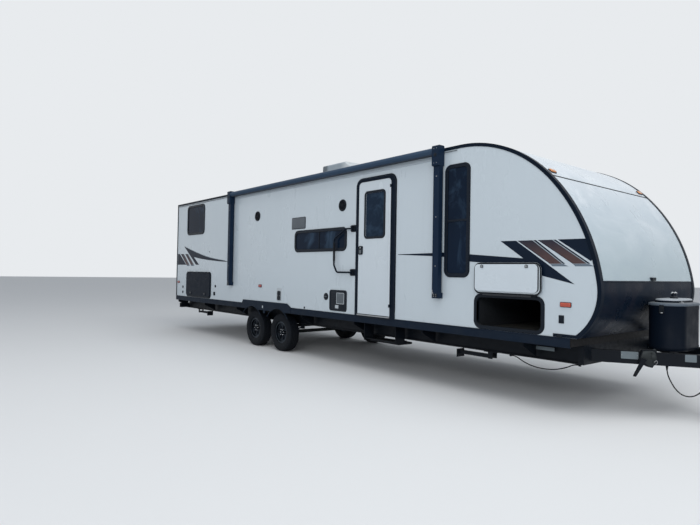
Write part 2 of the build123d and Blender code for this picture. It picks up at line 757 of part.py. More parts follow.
def build_springs():
    """Leaf springs over the axles, with hangers from the rails and the equalizer between them."""
    solids = []
    for side in SIDES.values():
        pack = []
        for station in wheel_stations:
            pack.append(slab(leaf_spring(station), -(rail_y + spring_w / 2), -(rail_y - spring_w / 2)))
        mid = sum(wheel_stations) / 2
        eye_z = 446
        hangers = [wheel_stations[0] - 330, mid, wheel_stations[1] + 330]
        for station in hangers:
            pack.append(block(station - 24, station + 24, -(rail_y + spring_w / 2), -(rail_y - spring_w / 2),
                              eye_z - 34, rail_bottom))
        link = block(mid - 120, mid + 120, -(rail_y + spring_w / 2), -(rail_y - spring_w / 2),
                     eye_z - 18, eye_z + 12)
        pack.append(link)
        for station in (hangers[0] + 10, hangers[2] - 10):
            pack.append(rod_y(station, -(rail_y + spring_w / 2), -(rail_y - spring_w / 2), eye_z - 6, 26))
        solids.append(on_side(fused(pack), side))
    parts["leaf_springs"] = Compound(children=solids)


spoke_count = 6


def wheel_rim():
    """Alloy rim revolved about Y, outer face towards -Y: a barrel and a dished face cut by hand holes."""
    half = rim_w / 2
    face_y = -half + 26
    bore_r = spindle_r + running_gap
    points = [(rim_r + 10, -half), (rim_r + 10, half), (rim_r - 14, half), (rim_r - 14, face_y + 24)]
    points += [(bore_r, face_y + 24), (bore_r, face_y), (rim_r - 14, face_y), (rim_r - 14, -half)]
    rim = revolve(Plane.XY * make_face(Polyline(*points, close=True)), Axis.Y)
    hole_in, hole_out, hole_w = 62, 132, 54
    for i in range(spoke_count):
        hole = Pos((hole_in + hole_out) / 2, face_y + 12, 0) * Box(hole_out - hole_in, 60, hole_w)
        rim -= Rot(0, 360 * i / spoke_count, 0) * hole
    cap = Pos(0, face_y - 9, 0) * Rot(90, 0, 0) * Cylinder(34, 18)
    return rim + cap


def tyre():
    """Tyre revolved about Y: flat sidewalls, chamfered shoulders, flat tread and beads on the rim."""
    half = tyre_w / 2
    bead_r = rim_r + 10 + running_gap
    shoulder = 12
    side = [(bead_r, half), (tyre_r - shoulder, half), (tyre_r, half - shoulder)]
    points = side + [(r, -y) for r, y in reversed(side)]
    return revolve(make_face(Polyline(*points, close=True)), Axis.Y)


def build_wheels():
    """Four wheels: front and rear axle, right and left."""
    rim = wheel_rim()
    rubber = tyre()
    for axle_name, station in zip(("rear", "front"), wheel_stations):
        for name, side in SIDES.items():
            place = Pos(at(station), -wheel_y, tyre_r)
            parts[f"rim_{axle_name}_{name}"] = on_side(place * rim, side)
            parts[f"tyre_{axle_name}_{name}"] = on_side(place * rubber, side)


# Underbelly
belly_t = 4


def build_underbelly():
    """Closed belly sheet under the cross members, between the rails."""
    y = rail_y - rail_flange_w / 2
    low = ground_to_floor - 110 - belly_t
    front = block(from_nose(4890), rail_front_station - 560, -y, y, low, low + belly_t)
    rear = block(80, 2900, -y, y, low, low + belly_t)
    parts["underbelly"] = Compound(children=[front, rear])


# Awning
awning_roller_r = 45
awning_z = from_roof(30)
awning_y = half_w + 74
awning_rear_station = 2810
awning_front_station = from_nose(1984)
arm_w = 95
arm_out = 92
arm_foot_z = 1136
arm_sheet_t = 6
wall_channel_w = 50
wall_channel_t = 30


def build_awning():
    """Rolled awning along the roof edge, with a channel arm folded down over its wall channel at each end."""
    roller_lo, roller_hi = awning_rear_station, awning_front_station
    roller = rod_x(roller_lo, roller_hi, -awning_y, awning_z, awning_roller_r)
    rail = block(roller_lo + 60, roller_hi - 60, -(half_w + 12), -half_w, awning_z - 95, awning_z - 75)
    seat = rod_x(roller_lo - running_gap, roller_hi + running_gap, -awning_y, awning_z,
                 awning_roller_r + running_gap)
    arms = []
    for station in (roller_lo, roller_hi):
        lo, hi = station - arm_w / 2, station + arm_w / 2
        top = awning_z - 150
        arm = block(lo, hi, -(half_w + arm_out), -(half_w + arm_out - 64), arm_foot_z, top)
        arm -= block(lo + arm_sheet_t, hi - arm_sheet_t, -(half_w + arm_out - arm_sheet_t),
                     -(half_w + 10), arm_foot_z - 1, top - 40)
        channel = block(station - wall_channel_w / 2, station + wall_channel_w / 2,
                        -(half_w + wall_channel_t), -half_w, arm_foot_z, top)
        foot = block(lo, hi, -(half_w + arm_out), -half_w, arm_foot_z - 30, arm_foot_z + 40)
        head = block(lo - 6, hi + 6, -(awning_y + 48), -(half_w + 10), top - 40, awning_z + 62)
        head = fillet(head.edges().filter_by(Axis.X), 18)
        arms.append(arm + channel + foot + head - seat)
    parts["awning_roller"] = roller
    parts["awning_arms"] = Compound(children=[rail] + arms)


# Air conditioner and roof vents
ac_lo = from_nose(5640)
ac_hi = from_nose(4550)
ac_half_w = 340
ac_h = 420
ac_tail_lean = 25
ac_nose_run = 400
ac_nose_h = 150
ac_corner_r = 28
# Roof vents: station low and high, half width, height, slope of the sides in degrees
VENTS = (
    (2790, 3250, 260, 330, 12),
    (from_nose(3500), from_nose(3100), 200, 105, 4),
)


def build_roof_kit():
    """Air conditioner shroud with a sloping nose and rounded edges, and the roof vent covers."""
    top = roof_z + ac_h
    corners = [(ac_lo, roof_z), (ac_lo + ac_tail_lean, top), (ac_hi - ac_nose_run, top)]
    corners += [(ac_hi, roof_z + ac_nose_h), (ac_hi, roof_z)]
    outline = make_face(Polyline(*[(at(s), z) for s, z in corners], close=True))
    shroud = slab(outline, -ac_half_w, ac_half_w)
    edges = shroud.edges().filter_by(lambda edge: edge.center().Z > roof_z + 1)
    parts["air_conditioner"] = fillet(edges, ac_corner_r)
    vents = []
    for lo, hi, vent_half_w, height, slope in VENTS:
        footing = Plane.XY.offset(roof_z) * (Pos(at((lo + hi) / 2), 0) * Rectangle(hi - lo, 2 * vent_half_w))
        vents.append(extrude(footing, amount=height, taper=slope))
    parts["roof_vents"] = Compound(children=vents)


# Grab handle
handle_axis_station = from_nose(3638)
handle_axis_y = -(half_w + 43)
handle_top = 2050
handle_low = 1405
handle_reach = 410
handle_bar_r = 13
handle_grip_r = 17
handle_pin_r = 6


def build_handle():
    """Folding grab handle, swung back along the wall, on two brackets with upright pins."""
    r = handle_bar_r
    x = handle_axis_station
    back = x - handle_reach
    points = [(x, handle_top), (x - 150, handle_top), (back, handle_top - 150)]
    points += [(back, handle_low + 110), (back + 70, handle_low), (x, handle_low)]
    path = Polyline(*[(at(s), handle_axis_y, z) for s, z in points])
    bar = sweep(Plane(path @ 0, z_dir=path % 0) * Circle(r), path=path, transition=Transition.RIGHT)
    bar += rod_z(back, handle_axis_y, handle_low + 170, handle_top - 210, handle_grip_r)
    brackets = []
    for z in (handle_top, handle_low):
        sleeve = rod_z(x, handle_axis_y, z - 18, z + 18, r + 3)
        bar = bar + sleeve - rod_z(x, handle_axis_y, z - 60, z + 60, handle_pin_r + pin_gap)
        base = block(x - 62, x + 50, -(half_w + 10), -half_w, z - 50, z + 50)
        bracket = fillet(base.edges().filter_by(Axis.Y), 16)
        for z_ear in (z - 34, z + 19):
            bracket += block(x - 16, x + 16, handle_axis_y - 14, -(half_w + 10), z_ear, z_ear + 15)
        bracket += rod_z(x, handle_axis_y, z - 34, z + 34, handle_pin_r)
        brackets.append(bracket)
    parts["grab_handle"] = bar
    parts["handle_brackets"] = Compound(children=brackets)


# Side fittings: name, node, station low and high, Z low and high, thickness, corner radius
FITTINGS = (
    ("rear speaker", "side_fittings", 3667, 3858, 2333, 2513, 14, 89),
    ("front speaker", "side_fittings", from_nose(4002), from_nose(3822), 2324, 2504, 14, 89),
    ("socket panel", "side_fittings", from_nose(5270), from_nose(4872), 2114, 2310, 10, 0),
    ("water port", "side_fittings", from_nose(4340), from_nose(4226), 970, 1080, 16, 50),
    ("upper inlet", "side_fittings", 358, 408, 985, 1025, 12, 0),
    ("lower inlet", "side_fittings", 358, 408, 865, 905, 12, 0),
    ("rear inlet", "side_fittings", 2045, 2090, 1048, 1086, 12, 0),
    ("rear socket", "side_fittings", 1985, 2065, 872, 948, 12, 0),
    ("front outlet", "side_fittings", from_nose(420), from_nose(363), 929, 1011, 12, 0),
    ("vertical fitting", "side_fittings", 4480, 4633, 888, 1109, 18, 0),
    ("appliance door", "appliance_panels", from_nose(4190), from_nose(3775), 817, 1135, 10, 0),
    ("fridge vent", "appliance_left", 3050, 3450, 1500, 1950, 14, 0),
    ("heater door", "appliance_left", from_nose(4190), from_nose(3860), 817, 1135, 10, 0),
    ("range vent", "appliance_left", from_nose(3490), from_nose(3240), 2250, 2400, 16, 0),
)


hitch_lamp_z = 1388
hitch_lamp_half_w = 55


def build_fittings():
    """Speakers, sockets, vents and appliance doors on the side walls, and the small lamp on the nose."""
    groups = {}
    for name, node, lo, hi, z_lo, z_hi, t, corner in FITTINGS:
        side = 1 if node.endswith("left") else -1
        piece = slab(plate_xz(lo, hi, z_lo, z_hi, corner), -(half_w + t), -half_w)
        target = "appliance_panels" if node.startswith("appliance") else node
        groups.setdefault(target, []).append(on_side(piece, side))
    lamp = block(body_length - 30, body_length + 24, -hitch_lamp_half_w, hitch_lamp_half_w,
                 hitch_lamp_z - 15, hitch_lamp_z + 15)
    groups["side_fittings"].append(lamp - slab(profile, -half_w, half_w))
    for node, pieces in groups.items():
        parts[node] = Compound(children=pieces)


# Side markers: colour, station low and high, Z low and high
SIDE_LAMPS = (
    ("red", 78, 188, 1085, 1140),
    ("amber", 3850, 3960, 1101, 1157),
    ("amber", from_nose(408), from_nose(286), 1092, 1145),
)
side_lamp_t = 20
# Rear lamps: distance in from the wall, half width, Z low and high
REAR_LAMPS = (
    (199, 70, 1000, 1210),
    (219, 50, 2790, 2820),
    (1089, 50, 2790, 2820),
)
rear_lamp_t = 30
# Clearance lamps on the brow: station, distance in from the wall
brow_lamp_station = from_nose(590)
brow_lamp_inset = 144
brow_lamp_size = (60, 110, 22)


def build_lamps():
    """Side markers on both walls, rear lamps and the two clearance lamps on the brow."""
    groups = {"red": [], "amber": []}
    for colour, lo, hi, z_lo, z_hi in SIDE_LAMPS:
        lamp = slab(plate_xz(lo, hi, z_lo, z_hi), -(half_w + side_lamp_t), -half_w)
        groups[colour] += [lamp, mirrored(lamp)]
    for inset, lamp_half_w, z_lo, z_hi in REAR_LAMPS:
        y = half_w - inset
        lamp = block(-rear_lamp_t, 0, -y - lamp_half_w, -y + lamp_half_w, z_lo, z_hi)
        groups["red"] += [lamp, mirrored(lamp)]
    z, slope = brow_point(brow_lamp_station)
    seat = Pos(at(brow_lamp_station), -(half_w - brow_lamp_inset), z) * Rot(0, slope, 0)
    lamp = seat * Pos(0, 0, brow_lamp_size[2] / 2) * Box(*brow_lamp_size)
    groups["amber"] += [lamp, mirrored(lamp)]
    for colour, lamps in groups.items():
        parts[f"{colour}_lamps"] = Compound(children=lamps)


def build_bumper():
    """Rear box bumper on two stubs from the rails."""
    end_y = half_w - 159
    size = 100
    sheet = 5
    tube = block(-70 - size, -70, -end_y, end_y, rail_bottom, rail_bottom + size)
    tube -= block(-70 - size + sheet, -70 - sheet, -end_y - 1, end_y + 1, rail_bottom + sheet,
                  rail_bottom + size - sheet)
    for side in SIDES.values():
        y = side * rail_y
        tube += block(-70, rail_rear_station, y - 30, y + 30, rail_bottom, rail_bottom + size)
    parts["rear_bumper"] = tube


# Stabilizers: name, station of the pivot, way the stowed leg points
STABILIZERS = (
    ("front_right", from_nose(1430), -1),
    ("front_left", from_nose(1430), 1),
    ("rear_right", 700, -1),
    ("rear_left", 700, 1),
)
stabilizer_len = 470
stabilizer_pivot_z = 438
stabilizer_pin_r = 9


def stabilizer_brackets():
    """A plate under the rail for each corner stabilizer, with two ears and the pivot pin."""
    brackets = []
    plate_t = 6
    ear_t = 8
    y, z = rail_y, stabilizer_pivot_z
    plate_low = rail_bottom - plate_t
    for name, station, side in STABILIZERS:
        bracket = block(station - 90, station + 90, -y - 48, -y + 48, plate_low, rail_bottom)
        bracket += rod_y(station, -y - 48, -y + 48, z, stabilizer_pin_r)
        for y_ear in (-y - 48, -y + 48 - ear_t):
            bracket += block(station - 30, station + 30, y_ear, y_ear + ear_t, z - 24, plate_low)
        brackets.append(on_side(bracket, side))
    return brackets


def build_stabilizers():
    """Swing-down corner stabilizers, stowed flat under the rails."""
    for name, station, side in STABILIZERS:
        back = -1 if name.startswith("front") else 1
        y = rail_y
        z = stabilizer_pivot_z
        tip = station + back * stabilizer_len
        lo, hi = min(station, tip), max(station, tip)
        leg = block(lo, hi, -y - 32, -y + 32, z - 20, z + 20)
        leg += rod_y(station, -y - 32, -y + 32, z, 20)
        leg -= rod_y(station, -y - 60, -y + 60, z, stabilizer_pin_r + pin_gap)
        pad = block(min(tip, tip + back * 10), max(tip, tip + back * 10), -y - 70, -y + 70, z - 60, z + 40)
        leg += pad
        parts[f"stabilizer_{name}"] = on_side(leg, side)


def build_step():
    """Fold-out entry step: arms that swing on the hanger, and a tread that stays level."""
    arms = []
    arm_gap = 11
    for station in (step_lo + arm_gap + 5, step_hi - arm_gap - 5):
        arm = block(station - 5, station + 5, step_axis_y - 18, step_axis_y + step_arm_len + 4,
                    step_axis_z - 18, step_axis_z + 14)
        arms.append(arm - rod_x(station - 20, station + 20, step_axis_y, step_axis_z, step_pin_r + pin_gap))
    y_end = step_axis_y + step_arm_len
    bar = rod_x(step_lo + arm_gap, step_hi - arm_gap, y_end, step_axis_z, step_pin_r)
    parts["step_arms"] = arms[0] + arms[1] + bar
    lo, hi = step_lo + 28, step_hi - 28
    low = step_axis_z - 40
    tread = block(lo, hi, y_end - step_tread_w / 2, y_end + step_tread_w / 2, low, low + step_t)
    for station in (lo + 4, hi - 4):
        tread += block(station - 4, station + 4, y_end - 20, y_end + 20, low, step_axis_z + 16)
    tread -= rod_x(step_lo, step_hi, y_end, step_axis_z, step_pin_r + pin_gap)
    parts["step_tread"] = tread


def cable_tube(name, points):
    """A free cable: straight runs joined by arcs as large as the runs allow."""
    route = [Vector(at(station), y, z) for station, y, z in points]
    radii = []
    for back, here, ahead in zip(route, route[1:], route[2:]):
        run_in, run_out = here - back, ahead - here
        half_turn = radians(run_in.get_angle(run_out)) / 2
        radii.append(0.45 * min(run_in.length, run_out.length) / tan(half_turn))
    path = FilletPolyline(*route, radius=radii)
    tube = sweep(Plane(path @ 0, z_dir=path % 0) * Circle(cable_r), path=path)
    share = tube.volume / (pi * cable_r ** 2 * path.length)
    print(name, "length", round(path.length), "radii", [round(r) for r in radii], "volume share", round(share, 4))
    parts[name] = tube


def build_cables():
    """The tow cable with its plug on the jack plate, and the wiring loop under the front of the belly."""
    cable_tube("belly_cable", belly_route())
    cable_tube("tow_cable", tow_route())
    before, end = [Vector(at(station), y, z) for station, y, z in tow_route()[-2:]]
    plane = Plane(origin=end, z_dir=end - before)
    neck = extrude(plane * Circle(plug_neck_r), amount=plug_neck_len)
    body = extrude(plane.offset(plug_neck_len) * Circle(plug_r), amount=plug_len)
    parts["tow_plug"] = neck + body


def export_all():
    os.makedirs("parts", exist_ok=True)
    for name, shape in parts.items():
        export_step(shape, f"parts/{name}.step")


build_side_walls()
build_shell()
build_trims()
build_floor()
build_skirts()
build_windows()
build_door()
build_hatches()
build_storage_bay()
build_chassis()
build_frame_members()
build_tongue()
build_jack()
build_coupler()
build_gas_cover()
build_axles()
build_springs()
build_wheels()
build_underbelly()
build_awning()
build_roof_kit()
build_handle()
build_fittings()
build_lamps()
build_bumper()
build_stabilizers()
build_step()
build_cables()
export_all()
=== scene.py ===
import math

import bmesh
import bpy
from mathutils import Matrix, Vector


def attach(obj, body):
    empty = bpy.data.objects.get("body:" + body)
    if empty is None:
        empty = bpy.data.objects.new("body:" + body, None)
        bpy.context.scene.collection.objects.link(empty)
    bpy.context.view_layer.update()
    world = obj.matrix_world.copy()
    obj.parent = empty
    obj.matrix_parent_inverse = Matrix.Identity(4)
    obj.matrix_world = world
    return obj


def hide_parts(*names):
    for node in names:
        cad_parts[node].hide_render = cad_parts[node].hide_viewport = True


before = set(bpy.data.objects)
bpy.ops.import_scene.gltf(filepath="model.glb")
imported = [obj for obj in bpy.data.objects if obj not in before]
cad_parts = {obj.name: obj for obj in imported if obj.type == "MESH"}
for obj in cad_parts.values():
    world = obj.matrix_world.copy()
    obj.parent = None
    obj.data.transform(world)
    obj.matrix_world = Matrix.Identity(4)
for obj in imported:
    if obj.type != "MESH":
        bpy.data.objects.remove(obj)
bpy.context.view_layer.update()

# Sizes below are millimetres. A station is a distance forward of the rear wall's outer face, "out" is a distance
# from the centre plane, and a lift is a distance off the face of a side wall. They become metres from the jack
# foot only in put(). Limits are the lowest and highest station, then the lowest and highest Z. A side is -1 for
# right and 1 for left.
JACK_STATION = 10860
WALL = 1219
BODY_LENGTH = 10190
ROOF_Z = 2945
WHEEL_STATIONS = {"rear": 3626, "front": 4513}
ARM_STATIONS = (2810, 8206)
WHEEL_OUT = 1062
TYRE_R = 331
SIDES = {"right": -1, "left": 1}
UP = (0, 0, 1)

# The camera fitted to the photograph, its place in metres and its turns in degrees
PHOTO_WIDTH = 700
FOCAL_PIXELS = 540
SENSOR = 36
CAMERA_PLACE = (1.741, -6.327, 1.402)
YAW, PITCH, ROLL = 50.185, 1.071, 0.998


def put(point):
    """A point in metres from its station, Y and Z in millimetres."""
    station, y, z = point
    return ((station - JACK_STATION) / 1000, y / 1000, z / 1000)


def show(name, data):
    """A new object in the scene."""
    made = bpy.data.objects.new(name, data)
    bpy.context.scene.collection.objects.link(made)
    return made


def make_camera():
    """The camera that stands where the photograph's did."""
    data = bpy.data.cameras.new("camera")
    data.sensor_width = SENSOR
    data.lens = FOCAL_PIXELS * SENSOR / PHOTO_WIDTH
    data.clip_start = 0.05
    data.clip_end = 400
    camera = show("camera", data)
    yaw, pitch, roll = (math.radians(a) for a in (YAW, PITCH, ROLL))
    turn = Matrix.Rotation(yaw, 4, "Z") @ Matrix.Rotation(math.pi / 2 + pitch, 4, "X")
    camera.matrix_world = Matrix.Translation(CAMERA_PLACE) @ turn @ Matrix.Rotation(roll, 4, "Z")
    bpy.context.scene.camera = camera


make_camera()


# Materials

def srgb(red, green, blue):
    """A linear colour from the 0 to 255 values of a screen."""
    linear = []
    for value in (red, green, blue):
        value /= 255
        linear.append(value / 12.92 if value <= 0.04045 else ((value + 0.055) / 1.055) ** 2.4)
    return (*linear, 1)


DUST = srgb(120, 116, 108)
PALE_DUST = srgb(160, 160, 156)
GREY_FLECK = srgb(120, 128, 132)
HINGE_DARK = srgb(16, 22, 30)
EVEN = (1, 1, 1)


class Finish:
    """One procedural material, built up node by node. What adds to its look gives the finish back."""

    def __init__(self, name, colour, rough, metallic=0.0, coat=0.0, coat_rough=0.1, specular=0.5):
        self.material = bpy.data.materials.new(name)
        self.material.use_nodes = True
        self.tree = self.material.node_tree
        self.shader = self.tree.nodes["Principled BSDF"]
        for key, value in (("Base Color", colour), ("Roughness", rough), ("Metallic", metallic),
                           ("Coat Weight", coat), ("Coat Roughness", coat_rough), ("Specular IOR Level", specular)):
            self.shader.inputs[key].default_value = value
        self.material.diffuse_color = colour
        self.coords = self.tree.nodes.new("ShaderNodeTexCoord").outputs["Object"]
        self.colour = self.base = colour
        self.normal = None

    def feed(self, socket, value):
        if isinstance(value, bpy.types.NodeSocket):
            self.tree.links.new(value, socket)
        else:
            socket.default_value = value

    def node(self, kind, **inputs):
        made = self.tree.nodes.new(kind)
        for key, value in inputs.items():
            self.feed(made.inputs[key.replace("_", " ")], value)
        return made

    def noise(self, scale, detail=4.0, stretch=EVEN, rough=0.5, distortion=0.0):
        """Noise with its scale in cells to the metre, stretched where an axis has a smaller factor."""
        place = self.node("ShaderNodeMapping", Vector=self.coords, Scale=stretch)
        return self.node("ShaderNodeTexNoise", Vector=place.outputs["Vector"], Scale=scale, Detail=detail,
                         Roughness=rough, Distortion=distortion).outputs["Fac"]

    def span(self, value, low, high, out_low=0.0, out_high=1.0):
        """A value's stretch from low to high, mapped to another stretch and clamped."""
        return self.node("ShaderNodeMapRange", Value=value, From_Min=low, From_Max=high, To_Min=out_low,
                         To_Max=out_high).outputs["Result"]

    def math(self, operation, a, b=0.5):
        made = self.tree.nodes.new("ShaderNodeMath")
        made.operation = operation
        self.feed(made.inputs[0], a)
        self.feed(made.inputs[1], b)
        return made.outputs[0]

    def axis(self, name):
        """One coordinate of the object's own space, in metres."""
        return self.node("ShaderNodeSeparateXYZ", Vector=self.coords).outputs[name]

    def turned(self, name):
        """How far a face is turned along one axis of the object's own space, from 0 to 1."""
        made = self.tree.nodes.new("ShaderNodeTexCoord")
        part = self.node("ShaderNodeSeparateXYZ", Vector=made.outputs["Normal"]).outputs[name]
        return self.math("ABSOLUTE", part)

    def tint(self, colour, amount):
        """Mixes a colour over what is there, by a value that changes over the surface."""
        mix = self.tree.nodes.new("ShaderNodeMix")
        mix.data_type = "RGBA"
        self.feed(mix.inputs["Factor"], amount)
        self.feed(mix.inputs[6], self.colour)
        self.feed(mix.inputs[7], colour)
        self.colour = mix.outputs[2]
        self.tree.links.new(self.colour, self.shader.inputs["Base Color"])
        return self

    def patches(self, colour, noise, low, high, amount):
        """A colour where noise is high."""
        return self.tint(colour, self.span(self.noise(*noise), low, high, 0, amount))

    def fade(self, colour, axis, low, high, out_low, out_high):
        """A colour that comes or goes along an axis, over a stretch in metres."""
        return self.tint(colour, self.span(self.axis(axis), low, high, out_low, out_high))

    def mottle(self, scale, strength, stretch=EVEN, dark=0.75):
        """Slow changes of tone, as on a moulded or painted sheet."""
        shade = tuple(c * dark for c in self.base[:3]) + (1,)
        return self.patches(shade, (scale, 5, stretch), 0.35, 0.7, strength)

    def flecks(self, colour, scale, share, amount=1.0):
        """Small chips or scratches where fine noise is high."""
        return self.patches(colour, (scale, 8, EVEN, 0.6), 1 - share, 1.04 - share, amount)

    def rougher(self, scale, low, high, stretch=EVEN):
        self.feed(self.shader.inputs["Roughness"], self.span(self.noise(scale, 4, stretch), 0.3, 0.7, low, high))
        return self

    def relief(self, height, strength, distance=0.001):
        made = self.node("ShaderNodeBump", Strength=strength, Distance=distance, Height=height)
        if self.normal is not None:
            self.tree.links.new(self.normal, made.inputs["Normal"])
        self.normal = made.outputs["Normal"]
        self.tree.links.new(self.normal, self.shader.inputs["Normal"])
        return self

    def grain(self, scale, strength, distance=0.001, stretch=EVEN, detail=3.0):
        """Relief from noise."""
        return self.relief(self.noise(scale, detail, stretch), strength, distance)

    def wavy(self, scale, strength, distance=0.02):
        """The slow waviness of a large thin sheet."""
        return self.grain(scale, strength, distance, EVEN, 1.0)

    def low_dust(self, z_high, amount, colour=DUST):
        """Road dust that fades out up to a height in metres."""
        fade = self.span(self.axis("Z"), z_high * 0.35, z_high, amount, 0)
        patch = self.span(self.noise(6, 6), 0.3, 0.75, 0.25, 1)
        return self.tint(colour, self.math("MULTIPLY", fade, patch))

    def top_dust(self, amount, colour=DUST, scale=9):
        """Dust that lies on what faces up."""
        geometry = self.tree.nodes.new("ShaderNodeNewGeometry")
        up = self.node("ShaderNodeSeparateXYZ", Vector=geometry.outputs["Normal"]).outputs["Z"]
        facing = self.span(up, 0.45, 0.95, 0, amount)
        patch = self.span(self.noise(scale, 6), 0.25, 0.7, 0.3, 1)
        return self.tint(colour, self.math("MULTIPLY", facing, patch))


def laminate(name, colour, rough):
    """Gel coated wall sheet: slow waviness, faint rain streaks, road film low down."""
    made = Finish(name, colour, rough, coat=0.35, coat_rough=0.12).mottle(0.9, 0.12, dark=0.88)
    made.patches(srgb(150, 160, 166), (14, 4, (1, 1, 0.05)), 0.56, 0.76, 0.05)
    made.flecks(GREY_FLECK, 70, 0.24, 0.1).low_dust(1.15, 0.14)
    made.rougher(3, rough - 0.07, rough + 0.1, (1, 1, 0.4))
    return made.wavy(1.5, 0.09).grain(900, 0.05, 0.0002)


def dark_panel(name, colour, rough, dust):
    """Dark moulded or painted sheet with road dust and a fine grain."""
    made = Finish(name, colour, rough, specular=0.05).mottle(2.2, 0.4, dark=0.7).low_dust(1.3, dust)
    return made.top_dust(0.08).rougher(8, rough - 0.08, rough + 0.14).grain(420, 0.12, 0.0004)


def plastic(name, colour, rough, dust=0.25, grain=0.25):
    """Moulded plastic with a fine leather-like grain."""
    made = Finish(name, colour, rough, specular=0.16).mottle(12, 0.3, dark=0.72).top_dust(dust)
    return made.rougher(30, rough - 0.06, rough + 0.1).grain(700, grain, 0.0003)


def steel(name, colour, rough, metallic, rust):
    """Painted steel with mottled paint, dust low down and rust where it is chipped."""
    made = Finish(name, colour, rough, metallic, specular=0.12).mottle(5, 0.5, dark=0.7)
    made.flecks(srgb(72, 52, 42), 26, rust, 0.35).low_dust(0.8, 0.03).top_dust(0.1)
    return made.rougher(20, rough - 0.1, rough + 0.15).grain(160, 0.3, 0.0008)


def bright_metal(name, colour, rough):
    """Plated metal with faint scratches and dull patches."""
    made = Finish(name, colour, rough, 1.0).mottle(30, 0.35, dark=0.7)
    made.flecks(srgb(110, 100, 90), 60, 0.25, 0.5).rougher(40, rough - 0.06, rough + 0.16)
    return made.grain(500, 0.12, 0.0002, (1, 1, 0.2))


def glass(name, colour, rough=0.05):
    """Tinted window glass that shows as a dark gloss, with broad pale bluish patches of painted sky reflection and
    a film of dust.
    """
    made = Finish(name, colour, rough, coat=0.02, coat_rough=0.02, specular=0.05).mottle(1.7, 0.5, (1, 1, 0.6), 0.6)
    # Painted reflection: broad pale bluish patches of sky on the dark glass.
    made.patches(srgb(70, 94, 118), (2.3, 6, (1, 1, 0.8), 0.62, 1.2), 0.5, 0.78, 0.5)
    return made.flecks(PALE_DUST, 260, 0.25, 0.1).rougher(4, rough, rough + 0.06).wavy(1.1, 0.05, 0.01)


def lens(name, colour):
    """Ribbed lamp lens: fine upright prisms under a gloss."""
    made = Finish(name, colour, 0.14, coat=0.6, coat_rough=0.04).mottle(40, 0.4, dark=0.55)
    ribs = made.node("ShaderNodeTexWave", Vector=made.coords, Scale=55.0)
    ribs.bands_direction = "X"
    return made.relief(ribs.outputs["Fac"], 0.35).flecks(PALE_DUST, 120, 0.26, 0.25)


def cloth(name, colour):
    """Coated awning cloth: a fine plain weave and soft soiling."""
    made = Finish(name, colour, 0.75)
    made.shader.inputs["Sheen Weight"].default_value = 0.2
    made.mottle(6, 0.45, dark=0.65)
    threads = []
    for direction in ("X", "Z"):
        wave = made.node("ShaderNodeTexWave", Vector=made.coords, Scale=260.0)
        wave.bands_direction = direction
        threads.append(wave.outputs["Fac"])
    return made.relief(made.math("MULTIPLY", *threads), 0.4, 0.0005).grain(3, 0.2, 0.01, (1, 1, 3), 2.0)


def rubber(name, colour, rough, dust):
    """Rubber with fine grain, a grey bloom and dust in its hollows."""
    made = Finish(name, colour, rough, specular=0.14).mottle(9, 0.4, dark=0.6)
    made.patches(srgb(76, 74, 70), (26, 7), 0.42, 0.75, dust).low_dust(0.5, dust * 0.5)
    return made.rougher(60, rough - 0.1, rough + 0.1).grain(900, 0.3, 0.0003)


def membrane(name, colour):
    """Roof sheet: fine pebble, chalky patches and settled dirt."""
    made = Finish(name, colour, 0.7, specular=0.3).mottle(1.3, 0.4, dark=0.7)
    made.top_dust(0.45, srgb(112, 110, 104), 2.2)
    return made.grain(480, 0.35, 0.0006).grain(2.2, 0.2, 0.01, EVEN, 2.0)


def graphic(name, colour, gloss=0.3):
    """Vinyl film: a faint flake under a satin face."""
    made = Finish(name, colour, gloss, specular=0.1).mottle(2.5, 0.3, (1, 1, 0.5), 0.75)
    made.flecks(tuple(min(1, c * 1.7 + 0.008) for c in colour[:3]) + (1,), 420, 0.34, 0.2)
    return made.rougher(6, gloss - 0.05, gloss + 0.1).wavy(1.5, 0.08)


def graded_film(name, colour):
    """Printed film that fades from near black along its top to speckled brown along its foot."""
    made = Finish(name, colour, 0.32, specular=0.1).mottle(14, 0.5).flecks(srgb(112, 92, 84), 160, 0.4, 0.3)
    return made.fade(srgb(34, 42, 56), "Z", 1.6, 1.78, 0, 0.85).rougher(6, 0.27, 0.42).wavy(1.5, 0.08)


def cap_gel(name, colour):
    """The front cap's gel coat: brighter gloss, with painted reflections of a cloudy sky: paler towards the top,
    darker grey-green towards the bottom, broad bluish-grey patches and pale streaks up high.
    """
    made = Finish(name, colour, 0.32, coat=0.12, coat_rough=0.24, specular=0.24)
    # Painted sky light and reflection: paler towards the top, darker grey-green towards the bottom.
    made.fade(srgb(202, 209, 217), "Z", 2.15, 2.6, 0, 0.7).fade(srgb(150, 168, 174), "Z", 1.5, 2.1, 0.6, 0)
    # Painted reflection: broad bluish-grey patches.
    made.patches(srgb(144, 160, 173), (2.1, 5, (1, 1, 1.2), 0.55, 1.1), 0.52, 0.76, 0.3)
    # Painted reflection: pale cloud streaks, stronger higher up on the cap.
    painted_cloud_streaks = made.span(made.noise(1.5, 6, (1, 0.7, 1.6), 0.6, 1.4), 0.48, 0.74, 0, 0.6)
    high = made.span(made.axis("Z"), 1.6, 2.1, 0.15, 1)
    made.tint(srgb(214, 221, 227), made.math("MULTIPLY", painted_cloud_streaks, high))
    return made.flecks(srgb(96, 92, 84), 95, 0.26, 0.35).rougher(2, 0.24, 0.38).wavy(1.4, 0.1)


def black_gel(name, colour):
    """The lower cap: dark gloss with brownish patches of road dust."""
    made = Finish(name, colour, 0.3, specular=0.03).mottle(2.0, 0.4, dark=0.7)
    made.patches(srgb(48, 44, 50), (2.0, 4, EVEN, 0.5, 0.6), 0.54, 0.7, 0.3).low_dust(1.2, 0.02, srgb(92, 86, 80))
    return made.flecks(PALE_DUST, 110, 0.23, 0.12).rougher(5, 0.22, 0.44).wavy(1.6, 0.08)


